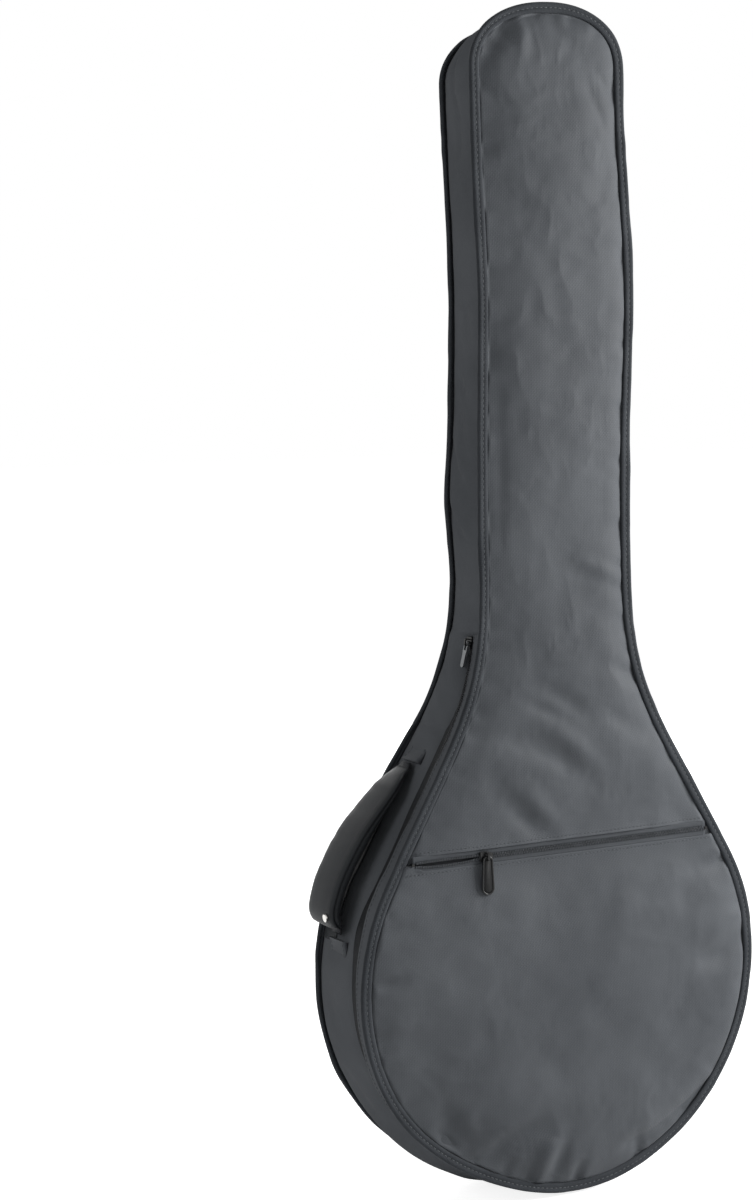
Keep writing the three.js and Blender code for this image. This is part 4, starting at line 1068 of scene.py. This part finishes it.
line = strap_line()
for side, name in ((-1, "left"), (1, "right")):
    strap = sheet_of(f"strap_webbing_{name}", ribbon_grid(line, STRAP_HALF, 1.6, side), "webbing",
                     [f"shoulder_strap_{name}"], wrap=True, ends=True)
    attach(strap, "shell")
    ends = np.array([STRAP_FOOT - run * 16, STRAP_FOOT + run * 10])
    pad = np.hstack([stepped(ends, 2), np.full((len(stepped(ends, 2)), 1), DRUM_DEPTH + 0.4)])
    anchor = sheet_of(f"strap_anchor_webbing_{name}", ribbon_grid(pad, STRAP_HALF, 3.3, side),
                      "webbing", [f"strap_anchor_{name}"], wrap=True, ends=True)
    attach(anchor, "shell")
    across = np.array([-run[1], run[0]])
    corners = [STRAP_FOOT + across * a * 15 + run * b for a, b in
               ((-1, 7), (1, 7), (1, -2), (-1, -2), (-1, 7), (1, -2), (1, 7), (-1, -2))]
    box_line = stepped(np.array(corners), 1)
    box_line = np.stack([side * box_line[:, 0], np.full(len(box_line), DRUM_DEPTH + STRAP_STAND + 1.75),
                         box_line[:, 1]], 1)
    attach(stitched(f"strap_box_stitches_{name}", box_line, (0, 1, 0), "thread"), "shell")

band = np.array([[-61.0, CROSS_SEAM, NECK_DEPTH + 0.4], [61.0, CROSS_SEAM, NECK_DEPTH + 0.4]])
band = stepped(band, 3)
seam_band = sheet_of("seam_band_webbing", ribbon_grid(band, 10, 1.7, 1), "webbing",
                     ["strap_seam_band"], wrap=True, ends=True)
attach(seam_band, "shell")
for number, rise in enumerate((-7, 7)):
    seam = np.array([[-58, NECK_DEPTH + 2.25, CROSS_SEAM + rise], [58, NECK_DEPTH + 2.25, CROSS_SEAM + rise]])
    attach(stitched(f"seam_band_stitches_{number}", seam, (0, 1, 0), "thread"), "shell")
print(f"strap: {np.linalg.norm(np.diff(line, axis=0), axis=1).sum():.0f} mm each")

# %% [markdown]
# The handle is a strip of webbing between two sewn tabs, inside a folded pad. The pad is thin
# where it starts and full at its lower end, which is blunt and carries a rivet. Its outer face
# is wider than its inner one, with a crease where the two meet, so the section is a rounded box
# with a groove, and it grows along the way.

# %% Carrying handle
HANDLE_BASE = 6.8
HANDLE_RISE = 20
PLACE_SHARES = [0, 0.03, 0.1, 0.28, 0.5, 0.75, 0.91, 0.97, 1]
HEIGHT_SHARES = [0, 0, 0.24, 0.55, 0.88, 1, 0.72, 0, 0]
handle_a = np.array([-half_width(HANDLE_TOP), HANDLE_TOP])
handle_b = np.array([-half_width(HANDLE_BOTTOM), HANDLE_BOTTOM])
chord = np.linalg.norm(handle_b - handle_a)
chord_run = (handle_b - handle_a) / chord
chord_out = np.array([chord_run[1], -chord_run[0]])


def through(points, step):
    """A smooth curve through points, as evenly stepped places."""
    points = np.vstack([2 * points[0] - points[1], points, 2 * points[-1] - points[-2]])
    gaps = np.linalg.norm(np.diff(points, axis=0), axis=1) ** 0.5
    knot = np.r_[0, np.cumsum(np.maximum(gaps, 1e-6))]
    made = []
    for i in range(1, len(points) - 2):
        t = np.linspace(knot[i], knot[i + 1], 24)[:, None]
        level = [points[i - 1 + k] for k in range(4)]
        knots = knot[i - 1:i + 3]
        for depth in (1, 2, 3):
            lows = knots[:4 - depth]
            highs = knots[depth:]
            if depth == 3:
                lows, highs = knots[1:2], knots[2:3]
            if depth == 2:
                lows, highs = knots[:2], knots[2:]
            level = [((high - t) * a + (t - low) * b) / (high - low)
                     for low, high, a, b in zip(lows, highs, level, level[1:])]
        made.append(level[0])
    return stepped(np.vstack(made), step)


flat = np.stack([np.array(PLACE_SHARES) * chord,
                 HANDLE_BASE + HANDLE_RISE * np.array(HEIGHT_SHARES)], 1)
handle_line = through(flat, 1.5)
handle_line = handle_a + handle_line[:, :1] * chord_run + handle_line[:, 1:] * chord_out


def handle_sweep(low, high, section_at):
    """Sweeps a section (out, across) along part of the handle's line."""
    count = len(handle_line)
    part = handle_line[int(low * count):int(high * count)]
    away = outward(part)
    section = np.array([section_at(s) for s in np.linspace(0, 1, len(part))])
    return np.stack([part[:, :1] + away[:, :1] * section[:, :, 0],
                     HANDLE_MIDDLE + section[:, :, 1],
                     part[:, 1:] + away[:, 1:] * section[:, :, 0]], 2)


def sleeve_section(share):
    full = easing(share, 0.0, 0.5)
    started = easing(share, 0.0, 0.16)
    blunt = 1 - 0.35 * easing(share, 0.965, 1.0)
    high = (1.3 + 2.3 * started + 2.4 * full) * blunt
    low = -(1.2 + 0.4 * started + 4.2 * full) * blunt
    half = (11.5 + 7.0 * started + 2.4 * full) * (1 - 0.12 * easing(share, 0.97, 1.0))
    crease = high - (1.2 + 3.0 * started) * blunt
    ring = [(high, -0.55), (high + 0.35, 0.0), (high, 0.55), (high - 0.5, 0.82), (high - 1.6, 0.96),
            (crease + 0.9, 1.0), (crease, 0.93), (crease - 0.9, 0.985), ((crease + low) / 2 - 0.4, 0.99),
            (low + 1.4, 0.93), (low + 0.3, 0.8), (low, 0.5), (low, 0.0), (low, -0.5), (low + 0.3, -0.8),
            (low + 1.4, -0.93), ((crease + low) / 2 - 0.4, -0.99), (crease - 0.9, -0.985),
            (crease, -0.93), (crease + 0.9, -1.0), (high - 1.6, -0.96), (high - 0.5, -0.82)]
    wrinkle = 0.35 * float(waves(share * 110, 0, 9, 81))
    wrinkle += 0.25 * float(waves(share * 110, 0, 4, 82))
    rear = 1 + 0.2 * full
    shift = 4 * full
    return [(out + wrinkle * (0.5 + 0.5 * across),
             shift + across * half * (rear if across > 0 else 1) + wrinkle * 0.4) for out, across in ring]


sleeve = sheet_of("handle_grip", handle_sweep(0.05, 0.935, sleeve_section), "grip",
                  ["handle_sleeve", "handle_sleeve_lip"], wrap=True, ends=True)
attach(sleeve, "handle")


def web_section(share):
    half = 7 + 5 * easing(min(share, 1 - share), 0.0, 0.07)
    return [(0.8, -half), (1.0, 0), (0.8, half), (-0.8, half), (-1.0, 0), (-0.8, -half)]


web = sheet_of("handle_core_webbing", handle_sweep(0.012, 0.988, web_section), "black_web_and_painted_shade",
               ["handle_webbing"], wrap=True, ends=True)
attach(web, "handle")


def tab_grid(near, far):
    """A folded tab on the cloth: thick beside the handle and thin at its far end."""
    line = stepped(mirrored(edge_between(min(near, far), max(near, far))), 1.2)
    if near > far:
        line = line[::-1]
    away = outward(line) * (1 if near < far else -1) * -1
    share = np.linspace(0, 1, len(line))[:, None]
    thick = 5.6 * (1 - share) ** 4 + 0.9
    across = 0.9 * np.array([-15, -14.4, -12, 0, 12, 14.4, 15, 14.4, 0, -14.4]) - 1.0
    rise = np.array([0.45, 0.85, 1, 1, 1, 0.85, 0.45, 0, 0, 0])
    out = 0.35 + thick * rise
    return np.stack([line[:, :1] + away[:, :1] * out,
                     np.broadcast_to(HANDLE_MIDDLE + across, out.shape),
                     line[:, 1:] + away[:, 1:] * out], 2)


for name, near, far in (("upper", HANDLE_TOP + 0.4, HANDLE_TOP + 25.5), ("lower", HANDLE_BOTTOM - 0.4, HANDLE_BOTTOM - 25.5)):
    grid = tab_grid(near, far)
    tab = sheet_of(f"handle_{name}_tab", grid, "tab", [f"handle_tab_{name}"], wrap=True, ends=True)
    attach(tab, "shell")
    loops = np.vstack([grid[3:-3, 2], grid[-3:-4:-1, 2:5].reshape(-1, 3), grid[3:-3, 4][::-1]])
    away = outward(mirrored(edge_between(min(near, far), max(near, far))))[0]
    way = np.array([-abs(away[0]), 0, 0.0])
    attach(stitched(f"handle_{name}_tab_stitches", loops + way * 0.1, way, "nylon_thread"), "shell")
print(f"handle: {chord:.0f} mm between its tabs")

# %% [markdown]
# Sliders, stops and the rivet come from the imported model, because their shapes are right: they
# get a rounded edge from a Bevel modifier and their own finishes. The pocket's puller is drawn
# anew: a long oval plate with a raised rim round a sunken field, which is what catches the light.

# %% Sliders, stops, rivet and adjusters
def dressed(node, finish, edge):
    """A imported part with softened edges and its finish."""
    part = bpy.data.objects[node]
    material, _ = FINISHES[finish]
    part.data.materials.clear()
    part.data.materials.append(material)
    soft = part.modifiers.new("soft edges", "BEVEL")
    soft.width = edge / 1000
    soft.segments = 3
    soft.limit_method = "ANGLE"


for node in ("main_zip_slider", "pocket_zip_slider"):
    dressed(node, "black_metal", 0.35)
dressed("main_zip_puller", "worn_nickel", 0.35)
for node in ("main_zip_stop_left", "main_zip_stop_right", "pocket_zip_stop_left",
             "pocket_zip_stop_right"):
    dressed(node, "black_metal", 0.3)
dressed("handle_rivet", "nickel", 0.3)
for node in ("strap_adjuster_left", "strap_adjuster_right"):
    dressed(node, "plastic", 0.8)


# %% Pocket puller
puller_low, puller_high = box_mm("pocket_zip_puller")
PULLER_X = (puller_low[0] + puller_high[0]) / 2
PULLER_Y = (puller_low[1] + puller_high[1]) / 2 + NECK_DEPTH
PULLER_TOP = puller_high[2] + HANG_HEIGHT
PULLER_BOTTOM = puller_low[2] + HANG_HEIGHT
PULLER_HALF = (puller_high[0] - puller_low[0]) / 2


def oval(half, top, bottom, steps=16):
    """A long oval ring of points (x, z), narrower at its top."""
    turn = np.linspace(0, math.pi, steps)
    low = np.stack([np.cos(turn) * -half, bottom + half - np.sin(turn) * half], 1)
    narrow = half * 0.8
    up = np.stack([np.cos(turn) * narrow, top - narrow * 0.8 + np.sin(turn) * narrow * 0.8], 1)
    return np.vstack([low, up])


def oval_rings(levels):
    """One ring for each pair of how far it lies inside the outline and how high it stands."""
    rings = [np.insert(oval(PULLER_HALF - inset, PULLER_TOP - inset, PULLER_BOTTOM + inset), 1, 0, axis=1)
             + [PULLER_X, PULLER_Y + rise, 0] for inset, rise in levels]
    return np.stack(rings)


RIM_LEVELS = [(1.7, -0.3), (1.4, -0.85), (0.8, -1.05), (0.15, -0.7), (0.0, 0.0),
              (0.15, 0.7), (0.8, 1.05), (1.4, 0.85), (1.7, 0.3)]
FIELD_LEVELS = [(1.6, -0.25), (1.6, 0.25)]
for name, levels, finish in (("rim", RIM_LEVELS, "black_metal"), ("field", FIELD_LEVELS, "black_matt")):
    rings = oval_rings(levels)
    rows, cols = rings.shape[:2]
    number = np.arange(rows * cols).reshape(rows, cols)
    if name == "rim":
        number = np.vstack([number, number[:1]])
    beside = np.roll(number, -1, 1)
    faces = np.stack([number[:-1], beside[:-1], beside[1:], number[1:]], 2).reshape(-1, 4).tolist()
    if name == "field":
        faces += [number[0][::-1].tolist(), number[1].tolist()]
    part = from_parts(f"pocket_puller_{name}", rings.reshape(-1, 3), faces, finish,
                      ["pocket_zip_puller"] if name == "rim" else ())
    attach(part, "pocket_puller")

# %% [markdown]
# Inside, each wall is a foam pad faced with lining cloth. It shows when the flap is open, so the
# pads are closed soft slabs, crowned towards the inside. The gusset's pad follows the outline.

# %% Padding and lining
def slab(name, low, high, outer_y, inner_y, nodes, body, columns=41, inset=2.0):
    heights = np.unique(np.r_[panel_rows(max(low, 3.0), min(high, BAG_LENGTH - 3.0), 5)])
    x, z = panel_grid(heights, columns, inset)
    distance, _ = to_rim(x, z)
    edge = np.minimum(distance, np.minimum(z - heights[0], heights[-1] - z) + 1.5)
    swell = 1 - np.exp(-edge / 5)
    outer = outer_y(z) + 0 * x
    toward = np.sign(inner_y(z) - outer_y(z))
    inner = outer + (inner_y(z) - outer) * (0.25 + 0.75 * swell) + toward * 0.5 * waves(x, z, 40, 91) * swell
    face = np.stack([x, outer, z], 2)
    back = np.stack([x, inner, z], 2)[:, ::-1]
    pad = sheet_of(name, np.concatenate([face, back], 1), "padding", nodes, wrap=True, ends=True)
    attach(pad, body)
    return pad


slab("neck_front_padding", FOLD_HEIGHT + 1, BAG_LENGTH, lambda z: 1.9 + 0 * z, lambda z: 7.0 + 0 * z,
     ["front_neck_foam", "front_neck_lining"], "shell")
slab("flap_padding", 0, FOLD_HEIGHT - 1, lambda z: 1.9 + 0 * z, lambda z: 7.0 + 0 * z,
     ["flap_foam", "flap_lining"], "flap", 61)
slab("back_padding", 0, BAG_LENGTH, lambda z: depth_at(z) - 1.9, lambda z: depth_at(z) - 7.0,
     ["back_foam", "back_lining"], "shell", 61)

line = stepped(all_round(), 5)[:-1]
above = easing(line[:, 1], FOLD_HEIGHT - 6, FOLD_HEIGHT + 2)[:, None]
start = (ZIP_LINE + 13) * (1 - above) + 8.0 * above
end = depth_at(line[:, 1])[:, None] - 8.0
share = np.linspace(0, 1, 13)
y = start + (end - start) * np.r_[share, share[::-1]]
depth = -1.8 - np.r_[0 * share, (5.2 * np.sin(math.pi * (0.12 + 0.76 * share)) ** 0.5)[::-1]]
depth = depth + 0.4 * waves(np.arange(len(line))[:, None] * 5.0, y, 30, 92) * (depth < -2)
grid = laid_along(line, depth, y, closed=True)
pad = sheet_of("gusset_padding", grid, "padding",
               ["gusset_neck_foam", "gusset_neck_lining", "gusset_drum_foam", "gusset_drum_lining"],
               wrap=True, loop=True)
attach(pad, "shell")

# %% [markdown]
# The stage is a pale floor under the bag's lowest point. For the camera it glows a little, and
# the sky behind it is plain white, so that the two meet without a line, and the bag's shadow
# still falls on the floor. None of that light reaches the bag: it comes from three soft lamps,
# the largest in front on the right, as the photograph's shading shows.

# %% Stage
FLOOR_AT = box_mm("flap_binding")[0][2] / 1000


def seen_directly(tree):
    """1 for the camera, mirrors and glass, and 0 for light that falls on things."""
    path = add_node(tree, "ShaderNodeLightPath")
    seen = add_node(tree, "ShaderNodeMath", {0: path.outputs["Is Camera Ray"],
                                             1: path.outputs["Is Glossy Ray"]}, operation="MAXIMUM")
    return add_node(tree, "ShaderNodeMath", {0: seen.outputs[0],
                                             1: path.outputs["Is Transmission Ray"]}, operation="MAXIMUM")


floor_mesh = bpy.data.meshes.new("floor")
turn = np.linspace(0, 2 * math.pi, 65)[:-1]
floor_points = [(9 * math.cos(a), 9 * math.sin(a), FLOOR_AT - 0.0012) for a in turn]
floor_mesh.from_pydata(floor_points, [], [tuple(range(64))])
floor = bpy.data.objects.new("floor", floor_mesh)
bpy.context.scene.collection.objects.link(floor)
paper = bpy.data.materials.new("pale paper")
paper.use_nodes = True
tree = paper.node_tree
tree.nodes.clear()
matt = add_node(tree, "ShaderNodeBsdfDiffuse")
matt.inputs["Color"].default_value = linear("#e9e9e9")
glow = add_node(tree, "ShaderNodeMath", {0: seen_directly(tree).outputs[0]}, operation="MULTIPLY")
glow.inputs[1].default_value = 0.84
light = add_node(tree, "ShaderNodeEmission", {"Strength": glow.outputs[0]})
both = add_node(tree, "ShaderNodeAddShader", {0: matt.outputs[0], 1: light.outputs[0]})
add_node(tree, "ShaderNodeOutputMaterial", {"Surface": both.outputs[0]})
floor_mesh.materials.append(paper)

world = bpy.data.worlds.new("studio")
bpy.context.scene.world = world
world.use_nodes = True
tree = world.node_tree
tree.nodes.clear()
strength = add_node(tree, "ShaderNodeMapRange", {0: seen_directly(tree).outputs[0]})
strength.inputs["To Min"].default_value = 0.22
strength.inputs["To Max"].default_value = 1.0
sky = add_node(tree, "ShaderNodeBackground", {"Strength": strength.outputs[0]})
sky.inputs["Color"].default_value = (1, 1, 1, 1)
add_node(tree, "ShaderNodeOutputWorld", {"Surface": sky.outputs[0]})


# %% Lamps
def lamp(name, place, target, size, power):
    """A square soft lamp that faces a point."""
    light = bpy.data.lights.new(name, "AREA")
    light.size = size
    light.energy = power
    holder = bpy.data.objects.new(name, light)
    bpy.context.scene.collection.objects.link(holder)
    holder.location = place
    holder.rotation_mode = "QUATERNION"
    holder.rotation_quaternion = (Vector(target) - Vector(place)).to_track_quat("-Z", "Y")


lamp("key from the front right", (1.22, -0.72, 0.27), (0.05, 0, 0.0), 0.8, 36)
lamp("fill from the left", (-2.35, -0.4, 0.9), (0, 0, 0), 1.2, 11)
lamp("light on the back", (0.9, 2.4, 0.2), (0, 0, 0), 1.4, 30)

# %% [markdown]
# The camera stands where the photographer stood: to the left of the bag, a little above its
# middle, with a long lens. Its place and turn were found by fitting the outline of the drum and
# the arch to the photograph, and they are written here as a place, a direction and a tilt.

# %% Camera
CAMERA_AT = Vector((-1.35307, -2.34158, 0.24877))
CAMERA_LOOKS = Vector((0.45646, 0.88211, -0.11632))
CAMERA_UP = Vector((0.07561, 0.09181, 0.99290))
LENS = 94.44
SENSOR = 36

camera_data = bpy.data.cameras.new("camera")
camera_data.sensor_fit = "VERTICAL"
camera_data.sensor_width = SENSOR
camera_data.sensor_height = SENSOR
camera_data.lens = LENS
camera_data.clip_start = 0.05
camera_data.clip_end = 50
camera = bpy.data.objects.new("camera", camera_data)
bpy.context.scene.collection.objects.link(camera)
looks = CAMERA_LOOKS.normalized()
right = looks.cross(CAMERA_UP).normalized()
up = right.cross(looks)
turned = Matrix((right, up, -looks)).transposed()
camera.matrix_world = Matrix.Translation(CAMERA_AT) @ turned.to_4x4()
bpy.context.scene.camera = camera
bpy.context.scene.view_settings.view_transform = "Standard"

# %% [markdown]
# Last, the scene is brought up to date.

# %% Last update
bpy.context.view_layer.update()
